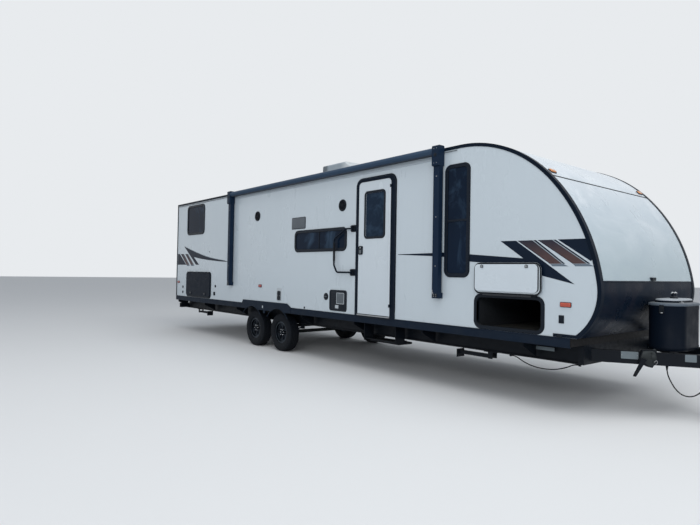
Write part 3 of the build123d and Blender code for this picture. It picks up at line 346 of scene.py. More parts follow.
def arm_shell(name, colour):
    """Powder coat of the awning arms; the rail under the roller is white like the wall it lies on."""
    made = Finish(name, colour, 0.36, specular=0.08).mottle(2.2, 0.4, dark=0.7)
    rail = (("X", -7.996, -2.709), ("Z", 2.818, 2.842))
    within = []
    for axis, low, high in rail:
        above = made.span(made.axis(axis), low, low + 0.001)
        below = made.span(made.axis(axis), high, high - 0.001)
        within.append(made.math("MULTIPLY", above, below))
    made.tint(srgb(170, 180, 188), made.math("MULTIPLY", *within)).low_dust(1.3, 0.03)
    return made.rougher(8, 0.28, 0.5).grain(420, 0.12, 0.0004)


def hatch_lining(name, colour):
    """Inner face of the open hatch: white sheet, with the dark hinge strip along its lower edge."""
    made = Finish(name, colour, 0.3, coat=0.2, coat_rough=0.15).mottle(1.4, 0.2, dark=0.84)
    hinge_top = 1.204
    made.fade(HINGE_DARK, "Z", hinge_top - 0.002, hinge_top, 1, 0)
    made.tint(HINGE_DARK, made.span(made.turned("Y"), 0.5, 0.8, 1, 0))
    return made.flecks(GREY_FLECK, 70, 0.24, 0.12).rougher(6, 0.24, 0.4).wavy(1.5, 0.09)


def shroud_shell(name, colour):
    """Weathered shroud of the roof cooler: grey sides, a nose made paler by a painted highlight, and a darker rear
    face.
    """
    made = Finish(name, colour, 0.5, specular=0.35).mottle(5, 0.35, dark=0.7)
    # Painted highlight: the nose fades to near white; towards the rear the colour fades darker.
    made.fade(srgb(206, 212, 216), "X", -5.75, -5.6, 0, 0.8).fade(srgb(52, 60, 68), "X", -6.16, -6.1, 0.7, 0)
    return made.top_dust(0.25).grain(240, 0.3, 0.0006)


# Each finish: its maker, the material's name, its colour on a screen, and what else the maker takes
FINISHES = {
    "wall": (laminate, "wall_laminate", (188, 199, 207), 0.3),
    "door": (laminate, "door_laminate", (194, 204, 212), 0.27),
    "cap": (cap_gel, "front_cap_gel", (178, 190, 199)),
    "black_cap": (black_gel, "lower_cap_gel", (14, 25, 39)),
    "roof": (membrane, "roof_membrane", (200, 202, 200)),
    "trim": (dark_panel, "edge_trim", (15, 25, 38), 0.32, 0.04),
    "hatch_inner": (hatch_lining, "hatch_inner_face", (196, 206, 214)),
    "shroud": (shroud_shell, "cooler_shroud", (150, 162, 172)),
    "frame": (plastic, "window_frame", (15, 24, 36), 0.36, 0.2, 0.15),
    "glass": (glass, "window_glass", (16, 30, 48)),
    "door_glass": (glass, "door_glass", (24, 40, 58), 0.1),
    "skirt": (dark_panel, "skirt_sheet", (20, 32, 47), 0.38, 0.05),
    "steel": (steel, "chassis_steel", (12, 18, 26), 0.42, 0.05, 0.17),
    "worn_steel": (steel, "worn_steel", (48, 52, 54), 0.45, 0.5, 0.3),
    "zinc": (bright_metal, "zinc_plate", (160, 163, 166), 0.38),
    "chrome": (bright_metal, "chrome_plate", (214, 216, 218), 0.14),
    "alloy": (bright_metal, "dark_alloy", (30, 37, 46), 0.36),
    "bright_alloy": (bright_metal, "machined_alloy", (64, 71, 79), 0.3),
    "tyre": (rubber, "tyre_rubber", (10, 16, 24), 0.72, 0.05),
    "seal": (rubber, "rubber_seal", (18, 24, 31), 0.6, 0.12),
    "grip": (rubber, "soft_grip", (18, 22, 28), 0.66, 0.1),
    "plastic": (plastic, "black_plastic", (16, 24, 34), 0.42),
    "grey_plastic": (plastic, "grey_plastic", (92, 98, 104), 0.45),
    "pale_plastic": (plastic, "pale_plastic", (176, 184, 190), 0.4, 0.3),
    "cover": (dark_panel, "cover_shell", (8, 17, 29), 0.4, 0.02),
    # Painted highlight: pale grey for the sky's reflection on the up-facing lid of the dark cover.
    "cover_lid": (plastic, "cover_lid", (158, 165, 172), 0.4, 0.15),
    # Painted highlight: grey for a band of sky reflection on the up-facing flange of the dark cover.
    "cover_rim": (plastic, "cover_rim", (84, 94, 105), 0.46, 0.25),
    "handle": (dark_panel, "powder_coat", (13, 22, 34), 0.33, 0.05),
    "casing": (dark_panel, "awning_casing", (56, 74, 95), 0.34, 0.03),
    "arm": (arm_shell, "awning_arm", (22, 38, 58)),
    "cloth": (cloth, "awning_cloth", (34, 46, 62)),
    "belly": (dark_panel, "belly_sheet", (20, 24, 29), 0.6, 0.15),
    "wood": (plastic, "sealed_floor", (26, 26, 28), 0.6, 0.2, 0.4),
    "lining": (plastic, "bay_lining", (40, 43, 47), 0.65, 0.35, 0.5),
    "red": (lens, "red_lens", (150, 40, 34)),
    "orange": (lens, "orange_lens", (178, 66, 42)),
    "amber": (lens, "amber_lens", (196, 118, 40)),
    "black_film": (graphic, "black_film", (16, 28, 44)),
    "brown_film": (graded_film, "brown_film", (82, 66, 66)),
    "silver_film": (graphic, "silver_film", (150, 160, 168), 0.35),
    "grey_film": (graphic, "grey_film", (104, 116, 128), 0.35),
    "plate": (plastic, "blank_plate", (108, 118, 124), 0.5, 0.35, 0.1),
    # A near-black finish of painted shade, for keyways, vent slots, cooler blades and the domes in small wall
    # fittings.
    "painted_shade_dark": (plastic, "dark_recess", (8, 12, 17), 0.8, 0.1, 0.1),
    "cord": (rubber, "cord_jacket", (14, 16, 19), 0.5, 0.12),
}
FINISHES = {key: make(name, srgb(*colour), *more).material for key, (make, name, colour, *more) in FINISHES.items()}


# Shapes, each given back as points and faces

def inset(limits, by):
    """Four limits drawn in on every side."""
    lo, hi, z_lo, z_hi = limits
    return lo + by, hi - by, z_lo + by, z_hi - by


def rounded(lo, hi, z_lo, z_hi, r, n):
    """Outline of a rounded rectangle."""
    r = max(min(r, (hi - lo) / 2 - 0.01, (z_hi - z_lo) / 2 - 0.01), 0.01)
    outline = []
    for centre_s, centre_z, start in ((hi - r, z_hi - r, 0), (lo + r, z_hi - r, 90),
                                      (lo + r, z_lo + r, 180), (hi - r, z_lo + r, 270)):
        for i in range(n + 1):
            a = math.radians(start + 90 * i / n)
            outline.append((centre_s + r * math.cos(a), centre_z + r * math.sin(a)))
    return outline


def loft(loops, closed=False):
    """Skin over loops that have the same number of points, with its ends capped unless it closes on itself."""
    n = len(loops[0])
    points = [p for loop in loops for p in loop]
    count = len(loops)
    faces = []
    for k in range(count if closed else count - 1):
        a, b = k * n, (k + 1) % count * n
        for i in range(n):
            j = (i + 1) % n
            faces.append([a + i, a + j, b + j, b + i])
    if not closed:
        faces.append(list(range(n))[::-1])
        faces.append([(count - 1) * n + i for i in range(n)])
    return points, faces


def on_wall(outline, lift, side=-1):
    """An outline of stations and heights, laid on a side wall."""
    return [(s, side * (WALL + lift), z) for s, z in outline]


def stack(limits, r, steps, side, n, shrink=1):
    """Rounded loops on a side wall, one for each step of lift and inset."""
    return [on_wall(rounded(*inset(limits, by), r - by * shrink, n), lift, side) for lift, by in steps]


def pad(lo, hi, z_lo, z_hi, r, low, high, edge, side=-1, n=6):
    """A plate on a side wall between two lifts, with rounded corners and an eased outer edge."""
    steps = ((low, 0), (high - edge, 0), (high - edge * 0.3, edge * 0.3), (high, edge))
    return loft(stack((lo, hi, z_lo, z_hi), r, steps, side, n))


def ring(lo, hi, z_lo, z_hi, r, width, low, high, edge=2.0, side=-1, n=8):
    """A frame on a side wall between two lifts, its outer and inner edges eased."""
    steps = ((low, 0), (high - edge, 0), (high, edge), (high, width - edge), (high - edge, width), (low, width))
    return loft(stack((lo, hi, z_lo, z_hi), r, steps, side, n), closed=True)


def moulding(section, lo, hi, side):
    """A strip along a side wall, of one section of lifts and heights."""
    return loft([[(s, side * (WALL + lift), z) for lift, z in section] for s in (lo, hi)])


def film(outline, lift, side, t=0.8):
    """A thin film on a side wall."""
    return loft([on_wall(outline, height, side) for height in (lift, lift + t)])


def box(s_lo, s_hi, y_lo, y_hi, z_lo, z_hi):
    """A block from its six faces; its edges are eased only where the piece that holds it asks for that."""
    return loft([[(s, y_lo, z_lo), (s, y_hi, z_lo), (s, y_hi, z_hi), (s, y_lo, z_hi)] for s in (s_lo, s_hi)])


def side_box(s_lo, s_hi, near, far, z_lo, z_hi, side=-1):
    """A block on one side of the centre plane, between two distances out."""
    return box(s_lo, s_hi, *sorted((side * near, side * far)), z_lo, z_hi)


def across(axis):
    """Two unit vectors across an axis."""
    axis = Vector(axis).normalized()
    other = Vector(UP) if abs(axis.z) < 0.9 else Vector((1, 0, 0))
    u = axis.cross(other).normalized()
    return u, axis.cross(u)


def circle(centre, u, v, r, n):
    """Points round a centre, in the plane of two unit vectors."""
    angles = [2 * math.pi * i / n for i in range(n)]
    return [tuple(centre + (u * math.cos(a) + v * math.sin(a)) * r) for a in angles]


def lathe(profile, centre, axis, n, closed=False):
    """A turned shape from radius and distance along the axis."""
    u, v = across(axis)
    axis = Vector(axis).normalized()
    centre = Vector(centre)
    return loft([circle(centre + axis * along, u, v, max(r, 0.02), n) for r, along in profile], closed=closed)


def boss(profile, s, lift, z, side=-1, n=24, closed=False):
    """A turned shape that stands off a side wall."""
    return lathe(profile, (s, side * (WALL + lift), z), (0, side, 0), n, closed)


def rod(a, b, r, n):
    """A round bar between two points with eased ends."""
    a, b = Vector(a), Vector(b)
    length = (b - a).length
    edge = min(1.0, r / 2, length / 3)
    return lathe([(r - edge, 0), (r, edge), (r, length - edge), (r - edge, length)], a, b - a, n)


def pipe(path, r, n):
    """A round bar that follows points."""
    path = [Vector(p) for p in path]
    u = across(path[1] - path[0])[0]
    loops = []
    for i, p in enumerate(path):
        ahead = (path[min(i + 1, len(path) - 1)] - path[max(i - 1, 0)]).normalized()
        u = (u - ahead * u.dot(ahead)).normalized()
        loops.append(circle(p, u, ahead.cross(u), r, n))
    return loft(loops)


def screw(centre, axis, r, h, n=10):
    """A low domed screw or rivet head."""
    return lathe([(r, 0), (r, h * 0.3), (r * 0.75, h * 0.8), (r * 0.3, h), (0, h)], centre, axis, n)


def stud(s, lift, z, r, h, side=-1, n=10):
    """A screw head on a side wall."""
    return screw((s, side * (WALL + lift), z), (0, side, 0), r, h, n)


def hex_nut(centre, axis, r, h):
    """A six-sided nut with a round end of thread in it."""
    points, faces = lathe([(r * 0.92, 0), (r, h * 0.12), (r, h * 0.88), (r * 0.9, h)], centre, axis, 6)
    tip = lathe([(r * 0.5, h * 0.9), (r * 0.5, h * 1.3), (r * 0.4, h * 1.4), (0, h * 1.4)], centre, axis, 12)
    start = len(points)
    return points + tip[0], faces + [[start + i for i in face] for face in tip[1]]


def flow(points, steps):
    """Smooth line through points, for bent wire and curved graphics."""
    line = []
    for i in range(len(points) - 1):
        around = (points[max(i - 1, 0)], points[i], points[i + 1], points[min(i + 2, len(points) - 1)])
        for k in range(steps):
            t = k / steps
            line.append(tuple(0.5 * (2 * b + (c - a) * t + (2 * a - 5 * b + 4 * c - d) * t * t
                                     + (3 * b - a - 3 * c + d) * t ** 3) for a, b, c, d in zip(*around)))
    line.append(tuple(points[-1]))
    return line


class Piece:
    """Shapes in stations and millimetres, gathered into one mesh that rides on a body."""

    def __init__(self, name, body="trailer"):
        self.name = name
        self.body = body
        self.points = []
        self.faces = []
        self.slots = []
        self.finishes = []

    def add(self, shape, finish):
        points, faces = shape
        if finish not in self.finishes:
            self.finishes.append(finish)
        start = len(self.points)
        self.points += [put(p) for p in points]
        self.faces += [[start + i for i in face] for face in faces]
        self.slots += [self.finishes.index(finish)] * len(faces)

    def rows(self, make, finish, *rows):
        """One shape for each row of numbers."""
        for row in rows:
            self.add(make(*row), finish)

    def done(self, *replaced, ease=0.0, angle=38, slot=None):
        mesh = bpy.data.meshes.new(self.name)
        mesh.from_pydata(self.points, [], self.faces)
        for name in self.finishes:
            mesh.materials.append(FINISHES[name])
        mesh.polygons.foreach_set("material_index", self.slots)
        work = bmesh.new()
        work.from_mesh(mesh)
        bmesh.ops.remove_doubles(work, verts=work.verts, dist=0.000005)
        bmesh.ops.dissolve_degenerate(work, edges=work.edges, dist=0.000005)
        bmesh.ops.recalc_face_normals(work, faces=work.faces)
        work.to_mesh(mesh)
        work.free()
        made = show(self.name, mesh)
        mesh.shade_smooth()
        if ease:
            bevel = made.modifiers.new("eased edges", "BEVEL")
            bevel.width = ease / 1000
            bevel.segments = 2
            bevel.limit_method = "ANGLE"
            bevel.angle_limit = math.radians(45)
            bevel.harden_normals = True
        mesh.set_sharp_from_angle(angle=math.radians(angle))
        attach(made, self.body)
        if replaced:
            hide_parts(*replaced)
        return made


# Finishes of the CAD nodes that stay in view

CORNERS = ("rear_right", "rear_left", "front_right", "front_left")
NODE_FINISH = {
    "steel": ("chassis", "frame_members", "a_frame", "leaf_springs", "rear_bumper", "coupler", "step_arms",
              "step_tread", *(f"stabilizer_{corner}" for corner in CORNERS)),
    "alloy": tuple(f"rim_{corner}" for corner in CORNERS), "worn_steel": ("axles",), "skirt": ("skirts",),
    "plastic": ("tow_plug", "hatch_frames", "handle_brackets"), "handle": ("jack_housing",),
    "zinc": ("jack_leg",), "wood": ("floor",), "belly": ("underbelly",), "cap": ("front_wall_upper",),
    "wall": ("sidewall_right", "sidewall_left", "rear_wall"), "black_cap": ("front_wall_lower",),
    "roof": ("roof",), "trim": ("edge_trims", "door_frame", "hatch_rear_right"), "glass": ("window_panes",),
    "frame": ("window_frames", "door_window_ring"), "door": ("door_leaf", "hatch_front_left"),
    "door_glass": ("door_pane",), "hatch_inner": ("hatch_front_right",), "lining": ("storage_bay",),
    "arm": ("awning_arms",), "shroud": ("air_conditioner",),
}
for finish, nodes in NODE_FINISH.items():
    for node in nodes:
        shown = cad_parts[node].data
        shown.materials.clear()
        shown.materials.append(FINISHES[finish])


# Front outline of the body, for the pieces that follow it

ROOF_END, BROW, NOSE, CHIN = (8500, ROOF_Z), (9682, 2420), (BODY_LENGTH, 1335), (9962, 790)


def arc(start, heading, end, n):
    """Points on the arc that leaves start at a heading, in degrees, and reaches end, and its last heading."""
    a = math.radians(heading)
    normal = Vector((math.sin(a), -math.cos(a)))
    chord = Vector(end) - Vector(start)
    r = chord.length_squared / (2 * chord.dot(normal))
    centre = Vector(start) + normal * r
    turn = 2 * math.asin(chord.length / (2 * r))
    line = []
    for i in range(n + 1):
        b = a - turn * i / n
        line.append((centre[0] - r * math.sin(b), centre[1] + r * math.cos(b)))
    return line, heading - math.degrees(turn)


FRONT = []
heading = 0
for start, end, arc_steps in ((ROOF_END, BROW, 40), (BROW, NOSE, 40), (NOSE, CHIN, 24)):
    line, heading = arc(start, heading, end, arc_steps)
    FRONT += line[1:] if FRONT else line


def front_at(z):
    """Station of the body's front outline at a height, and its outward direction."""
    for (s0, z0), (s1, z1) in zip(FRONT, FRONT[1:]):
        if z0 >= z >= z1 and z0 > z1:
            share = (z0 - z) / (z0 - z1)
            return s0 + (s1 - s0) * share, Vector((z0 - z1, s1 - s0)).normalized()
    return FRONT[-1][0], Vector((1, 0))


def strip_across(z_mid, width, t, half):
    """A strip across the front that follows its slope and is sunk in a little."""
    sink = 4
    s, out = front_at(z_mid)
    along = Vector((out[1], -out[0]))
    edge = width / 2
    steps = ((-edge, -sink), (-edge, t * 0.6), (-edge + 2, t), (edge - 2, t), (edge, t * 0.6), (edge, -sink))
    section = [Vector((s, z_mid)) + along * a + out * b for a, b in steps]
    return loft([[(p[0], y, p[1]) for p in section] for y in (-half, half)])


# Free cables, in metres, along the points of their CAD tubes

BELLY_CABLE = ((-1.840, -0.900, 0.485), (-1.784, -0.900, 0.485), (-1.688, -0.902, 0.434), (-1.564, -0.906, 0.398),
               (-1.424, -0.909, 0.389), (-1.292, -0.907, 0.402), (-1.172, -0.903, 0.440), (-1.090, -0.900, 0.485),
               (-1.038, -0.900, 0.485))
TOW_CABLE = ((-0.390, -0.380, 0.511), (-0.390, -0.380, 0.446), (-0.352, -0.379, 0.360), (-0.302, -0.376, 0.284),
             (-0.238, -0.370, 0.243), (-0.164, -0.360, 0.248), (-0.104, -0.347, 0.296), (-0.057, -0.333, 0.362),
             (-0.018, -0.318, 0.436), (0.012, -0.301, 0.516), (0.032, -0.282, 0.598), (0.041, -0.264, 0.672),
             (0.022, -0.235, 0.706), (-0.005, -0.194, 0.712), (-0.032, -0.153, 0.6823), (-0.054, -0.120, 0.6823))


def make_cable(name, node, points, on_it=()):
    """A free cable on one smooth line through its CAD tube."""
    curve = bpy.data.curves.new(name, "CURVE")
    curve.dimensions = "3D"
    curve.bevel_depth = 0.006
    curve.bevel_resolution = 4
    curve.resolution_u = 12
    line = curve.splines.new("NURBS")
    line.points.add(len(points) - 1)
    for control, point in zip(line.points, points):
        control.co = (*point, 1)
    line.order_u = 3
    line.use_endpoint_u = True
    curve.materials.append(FINISHES["cord"])
    cable = show(name, curve)
    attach(cable, "trailer")
    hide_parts(node)


def make_plug():
    """Tow plug: ribbed neck, moulded body with grip flats, and a recessed face with its pins."""
    piece = Piece("tow_plug_body")
    before, end = (Vector(p) * 1000 + Vector((JACK_STATION, 0, 0)) for p in TOW_CABLE[-2:])
    axis = (end - before).normalized()
    neck = [(6.5, 0), (8.5, 1), (9, 4), (8, 5), (9.5, 8), (8.6, 9), (10.6, 12), (9.6, 13), (12, 17), (12.9, 22)]
    body = [(13, 22), (18, 24), (21.4, 28), (21.8, 34), (20.6, 37), (20.6, 60), (21.9, 63), (21.9, 78), (21, 80),
            (18, 80), (17.6, 72), (0, 72)]
    piece.add(lathe(neck + body, end, axis, 40), "plastic")
    recess = end + axis * 72
    for foot in circle(recess, *across(axis), 11, 6):
        piece.add(rod(foot, Vector(foot) + axis * 6, 2, 10), "zinc")
    piece.add(rod(recess, recess + axis * 6, 2.6, 10), "zinc")
    return piece.done("tow_plug")


def make_gland():
    """Tapered sleeve where the tow cable leaves the rail."""
    piece = Piece("cable_gland")
    x, y, z = TOW_CABLE[0]
    taper = [(12.8, 0), (12.8, 3), (10.5, 6), (9.6, 14), (10, 16), (8.6, 22), (9, 24), (7.4, 34), (6.4, 36)]
    piece.add(lathe(taper, (x * 1000 + JACK_STATION, y * 1000, z * 1000 + 2), (0, 0, -1), 24), "seal")
    piece.done()


make_cable("loose_belly_cable", "belly_cable", BELLY_CABLE)
make_cable("loose_tow_cable", "tow_cable", TOW_CABLE, [make_plug()])
make_gland()


# Wheels. Sections are radius, distance outward from the wheel's middle plane and, for a tyre, depth of its slots.

def on_wheel(station, side, r, y, a):
    """A point on a wheel, by its angle from the top."""
    return station + r * math.sin(a), side * (WHEEL_OUT + y), TYRE_R + r * math.cos(a)


def make_tyre(axle, name, side):
    """A road tyre with grooves round it, slots across its shoulders and shallow notches in its outer edge."""
    wall = [(188.6, 78), (189.5, 86), (194, 91), (204, 95), (222, 99.5), (243, 102), (262, 102.4), (276, 101.6),
            (277, 103), (280, 103), (281, 101), (294, 98.6), (306, 95.2), (315, 91), (322, 86), (327, 79.5)]
    crown = []
    for groove in (52, 20):
        crown += [(329.6, groove + 5), (329.2, groove + 3.6), (320.5, groove + 2.6), (320.5, groove - 2.6),
                  (329.6, groove - 3.6), (330, groove - 5)]
    half = [(r, y, 0) for r, y in wall] + [(329, 74, 5.5), (329.4, 68, 5.5), (329.5, 60, 5.5)]
    half += [(r, y, 0) for r, y in crown + [(TYRE_R, 6)]]
    outside = half + [(r, -y, cut) for r, y, cut in reversed(half)]
    inside = [(r, y, 0) for r, y in ((200, -80), (300, -82), (312, -60), (312, 60), (300, 82), (200, 80))]
    per_slot = 3
    count = 58 * per_slot
    loops = []
    for r, y, cut in outside + inside:
        notched = y > 84 and 300 < r < 326
        depth = 2 if notched else cut
        loops.append([on_wheel(WHEEL_STATIONS[axle], side, r if i % per_slot else r - depth, y,
                               2 * math.pi * i / count) for i in range(count)])
    piece = Piece(f"road_tyre_{axle}_{name}", f"{axle}_{name}_wheel")
    piece.add(loft(loops, closed=True), "tyre")
    piece.done(f"tyre_{axle}_{name}", angle=50, slot="tyre_rubber")


def make_wheel_dress(axle, name, side):
    """On a rim: six nuts, a centre cap, a machined lip and step, a ridge down each spoke and a valve."""
    station = WHEEL_STATIONS[axle]
    nut_circle, face = 48, 50
    axis = (0, side, 0)
    hub = (station, side * WHEEL_OUT, TYRE_R)
    spokes = [2 * math.pi * (i + 0.5) / 6 for i in range(6)]
    piece = Piece(f"wheel_dress_{axle}_{name}", f"{axle}_{name}_wheel")
    for a in spokes:
        piece.add(hex_nut(on_wheel(station, side, nut_circle, face, a), axis, 9.5, 12), "chrome")
    piece.add(lathe([(33.9, 66), (34.6, 68.4), (31, 71), (22, 73), (10, 74), (0, 74.2)], hub, axis, 40), "plastic")
    lip = [(165, 74), (167, 76.6), (171, 77.4), (183, 77.4), (187.4, 76.4), (188.2, 74)]
    step = [(140, 50), (142, 51.6), (160, 51.6), (163.8, 50.2)]
    piece.rows(lathe, "bright_alloy", (lip, hub, axis, 96, True), (step, hub, axis, 72, True))
    for a in spokes:
        piece.add(pipe([on_wheel(station, side, r, face, a) for r in (66, 108, 150)], 6, 10), "alloy")
    piece.add(rod(*(on_wheel(station, side, 152, y, 0.2) for y in (52, 74)), 4, 10), "seal")
    piece.done()


for axle_name in WHEEL_STATIONS:
    for side_name, side_sign in SIDES.items():
        make_tyre(axle_name, side_name, side_sign)
        make_wheel_dress(axle_name, side_name, side_sign)


# Side graphics

def make_graphics(name, side):
    """Plain bands and slanted stripes in vinyl film along one side wall."""
    piece = Piece(f"graphics_{name}")

    def band(*outline):
        piece.add(film(outline, 0.4, side), "black_film")

    def stripe(*corners):
        """A slanted stripe: black, its middle fading to brown, with a thin pale line ahead of that."""
        top_left, top_right, low_right, low_left = (Vector(p) for p in corners)
        for a, b, lift, t, finish in ((0, 1, 0.4, 0.5, "black_film"), (0.05, 0.78, 0.9, 0.4, "brown_film"),
                                      (0.8, 0.87, 0.9, 0.4, "silver_film")):
            part = [top_left.lerp(top_right, a), top_left.lerp(top_right, b), low_left.lerp(low_right, b),
                    low_left.lerp(low_right, a)]
            piece.add(film(part, lift, side, t), finish)
        shade = [low_left + Vector((2, -2)), low_right + Vector((-18, -2)), low_right + Vector((36, -26)),
                 low_left + Vector((28, -26))]
        piece.add(film(shade, 0.4, side, 0.4), "grey_film")

    band((50, 1776), (154, 1773), (541, 1518), (50, 1518))
    stripe((215, 1772), (395, 1770), (720, 1518), (560, 1518))
    stripe((470, 1768), (628, 1766), (965, 1518), (798, 1518))
    upper = flow([(414, 1942), (1142, 1781), (1768, 1672), (2594, 1588)], 10)
    lower = flow([(2595, 1578), (2159, 1593), (1414, 1642), (956, 1692)], 10)
    band(*upper, *lower, (1236, 1518), (1075, 1518))
    edge = flow([(430, 1950), (1150, 1790), (1775, 1681), (2480, 1606)], 10)
    piece.add(film(edge + [(s - 6, z - 7) for s, z in reversed(edge)], 1.3, side, 0.4), "silver_film")
    band((7471, 1657), (8055, 1664), (8270, 1668), (8270, 1613), (8055, 1627), (7471, 1651))
    band((8655, 1640), (9360, 1587), (9074, 1780), (9269, 1777), (9933, 1325), (9574, 1406), (9480, 1505),
         (8655, 1554))
    stripe((9286, 1777), (9507, 1776), (9833, 1528), (9667, 1528))
    stripe((9527, 1775), (9728, 1773), (10090, 1529), (9912, 1528))
    band((9750, 1774), (10066, 1773), (10112, 1576), (10096, 1552))
    piece.done(angle=20)


for side_name, side_sign in SIDES.items():
    make_graphics(side_name, side_sign)


# Windows, each by its limits, corner radius and side

WINDOWS = ((579, 1484, 2197, 2863, 100, -1), (5018, 6390, 1728, 2084, 90, -1), (8276, 8650, 1370, 2728, 85, -1),
           (579, 1484, 2197, 2863, 100, 1), (4700, 6300, 1500, 2250, 90, 1), (8276, 8650, 1370, 2728, 85, 1))


def make_window_dress():
    """Seal lines and inner beads of the windows, and the centre bar of the wide ones."""
    piece = Piece("window_dress")
    for *limits, r, side in WINDOWS:
        lo, hi, z_lo, z_hi = limits
        piece.add(ring(*inset(limits, -4), r + 4, 5, 0, 5, 1.5, side, 12), "seal")
        piece.add(ring(*inset(limits, 6), r - 6, 7, 11.5, 14.5, 1.2, side, 12), "frame")
        piece.add(ring(*inset(limits, 37), r - 37, 7, 0, 11, 1.5, side, 6), "seal")
        if hi - lo > 1000:
            mid = (lo + hi) / 2
            piece.add(side_box(mid - 7, mid + 7, WALL + 0.5, WALL + 7, z_lo + 44, z_hi - 44, side), "seal")
    piece.done()


make_window_dress()


# Entry door. Its leaf's face stands off the wall.

DOOR_LIFT = 8


def make_door_dress():
    """What sits on the door leaf: edge bead, window seal and window bead."""
    piece = Piece("door_dress", "door")
    piece.add(ring(6672, 7329, 819, 2699, 58, 11, DOOR_LIFT - 1, DOOR_LIFT + 2.4, 1.0, n=10), "door")
    window = (6790, 7222, 1888, 2563)
    piece.add(ring(*inset(window, -3), 63, 5, DOOR_LIFT - 1, DOOR_LIFT + 5, 1.4, n=12), "seal")
    piece.add(ring(*inset(window, 5), 55, 6, DOOR_LIFT + 6, DOOR_LIFT + 9.4, 1.2, n=12), "frame")
    piece.done()


def make_latch():
    """Door latch: rounded housing, recessed paddle and two lock barrels."""
    piece = Piece("latch_set", "door")
    piece.add(pad(6679, 6767, 1663, 1787, 20, DOOR_LIFT - 1, DOOR_LIFT + 15, 5), "plastic")
    piece.add(ring(6691, 6755, 1672, 1740, 10, 6, DOOR_LIFT + 13, DOOR_LIFT + 17.4, 1.4), "plastic")
    piece.add(pad(6699, 6747, 1680, 1732, 6, DOOR_LIFT + 14, DOOR_LIFT + 20, 3), "grey_plastic")
    slot_out = WALL + DOOR_LIFT + 18
    for z in (1762, 1690):
        barrel = [(13, 0), (13, 4), (11, 6), (8, 6.4), (8, 5), (0, 5)]
        piece.add(boss(barrel, 6723, DOOR_LIFT + 14, z, n=28), "zinc")
        # The keyway is a near-black slot of painted shade.
        piece.add(side_box(6721.6, 6724.4, slot_out, slot_out + 2, z - 5, z + 5), "painted_shade_dark")
    piece.done("door_latch")


def make_door_frame_dress():
    """Screw cover line and seal round the door frame, and the threshold plate."""
    piece = Piece("door_frame_dress")
    piece.add(ring(6607, 7434, 786, 2764, 124, 6, 0, 6, 1.5, n=14), "seal")
    piece.add(ring(6622, 7419, 770, 2749, 109, 9, 13, 16, 1.2, n=14), "frame")
    piece.add(pad(6665, 7336, 792, 808, 2, 13, 20, 2), "zinc")
    piece.rows(stud, "plastic", *((7390, 14, 900 + 170 * i, 5, 2) for i in range(11)))
    piece.done()


make_door_dress()
make_latch()
make_door_frame_dress()


# Grab handle

def make_handle():
    """Bent bar in one line with a soft grip and collars at its pivots."""
    y = -(WALL + 43)
    pivot, back, top, low = 6552, 6142, 2050, 1405
    straight, drop, rise, run = 60, 150, 110, 70
    r = 62

    def bend(s, z, start, end, n=8):
        angles = [math.radians(start + (end - start) * i / n) for i in range(n + 1)]
        return [(s + r * math.cos(a), y, z + r * math.sin(a)) for a in angles]

    slant = math.tan(math.radians(22.5)) * r
    foot_turn = math.degrees(math.atan2(rise, run))
    foot = math.tan(math.radians((90 - foot_turn) / 2)) * r
    toe = math.tan(math.radians(foot_turn / 2)) * r
    path = [(pivot, y, top), (pivot - straight, y, top)]
    path += bend(pivot - drop + slant, top - r, 90, 135) + bend(back + r, top - drop - slant, 135, 180)
    path += [(back, y, 1800), (back, y, 1700), (back, y, 1600)]
    path += bend(back + r, low + rise + foot, 180, 270 - foot_turn)
    path += bend(back + run + toe, low + r, 270 - foot_turn, 270)
    path += [(pivot - straight, y, low), (pivot, y, low)]
    piece = Piece("folding_handle", "handle")
    piece.add(pipe(path, 13, 18), "handle")
    grip = [(13, 1573)]
    for i in range(25):
        z = 1575 + 11 * i
        grip += [(15.6, z), (16.8, z + 2), (16.8, z + 8), (15.6, z + 10)]
    piece.add(lathe(grip + [(13, 1852)], (back, y, 0), UP, 28), "grip")
    collar = [(12, -18), (15.4, -16.5), (16, -15), (16, 15), (15.4, 16.5), (12, 18)]
    piece.rows(lathe, "handle", *((collar, (pivot, y, z), UP, 28) for z in (top, low)))
    piece.done("grab_handle", angle=45)


make_handle()


# Hatches, each by its limits

FRONT_HATCH = (8728, 9612, 795, 1186)
REAR_HATCH = (590, 1856, 797, 1358)


def make_open_hatch_dress():
    """Front right hatch, open against the wall: dark gasket round its white inner face, two grey latches."""
    piece = Piece("open_hatch_dress", "front_right_hatch")
    piece.add(ring(8746, 9594, 1192, 1541, 76, 17, 27, 36.2, 1.0, n=12), "seal")
    face = 61
    for s in (8872, 9436):
        piece.add(pad(s - 20, s + 20, 1482, 1514, 8, face - 1, face + 7, 3), "grey_plastic")
        piece.add(boss([(9, 0), (9, 4), (7, 5), (0, 5)], s, face + 6, 1498, n=20), "zinc")
        piece.add(side_box(s - 4, s + 4, WALL + face + 6, WALL + face + 12, 1500, 1520), "zinc")
    piece.done()


def make_shut_hatch_dress(name, limits, side, finish, latches):
    """Bead and thumb latches on the outer face of a shut hatch."""
    piece = Piece(f"{name}_dress", name)
    lo, hi, z_lo, z_hi = limits
    face = 21
    piece.add(ring(lo + 20, hi - 20, z_lo + 30, z_hi - 15, 62, 12, face - 1, face + 2.2, 1.0, side, 12), finish)
    for s in latches:
        piece.add(pad(s - 42, s + 42, z_lo + 52, z_lo + 112, 12, face - 1, face + 8, 4, side), "plastic")
        piece.add(ring(s - 30, s + 30, z_lo + 60, z_lo + 104, 7, 5, face + 6, face + 10, 1.2, side), "plastic")
        piece.add(boss([(11, 0), (11, 3), (8, 4.5), (0, 4.5)], s, face + 7, z_lo + 88, side, 20), "zinc")
    piece.done()


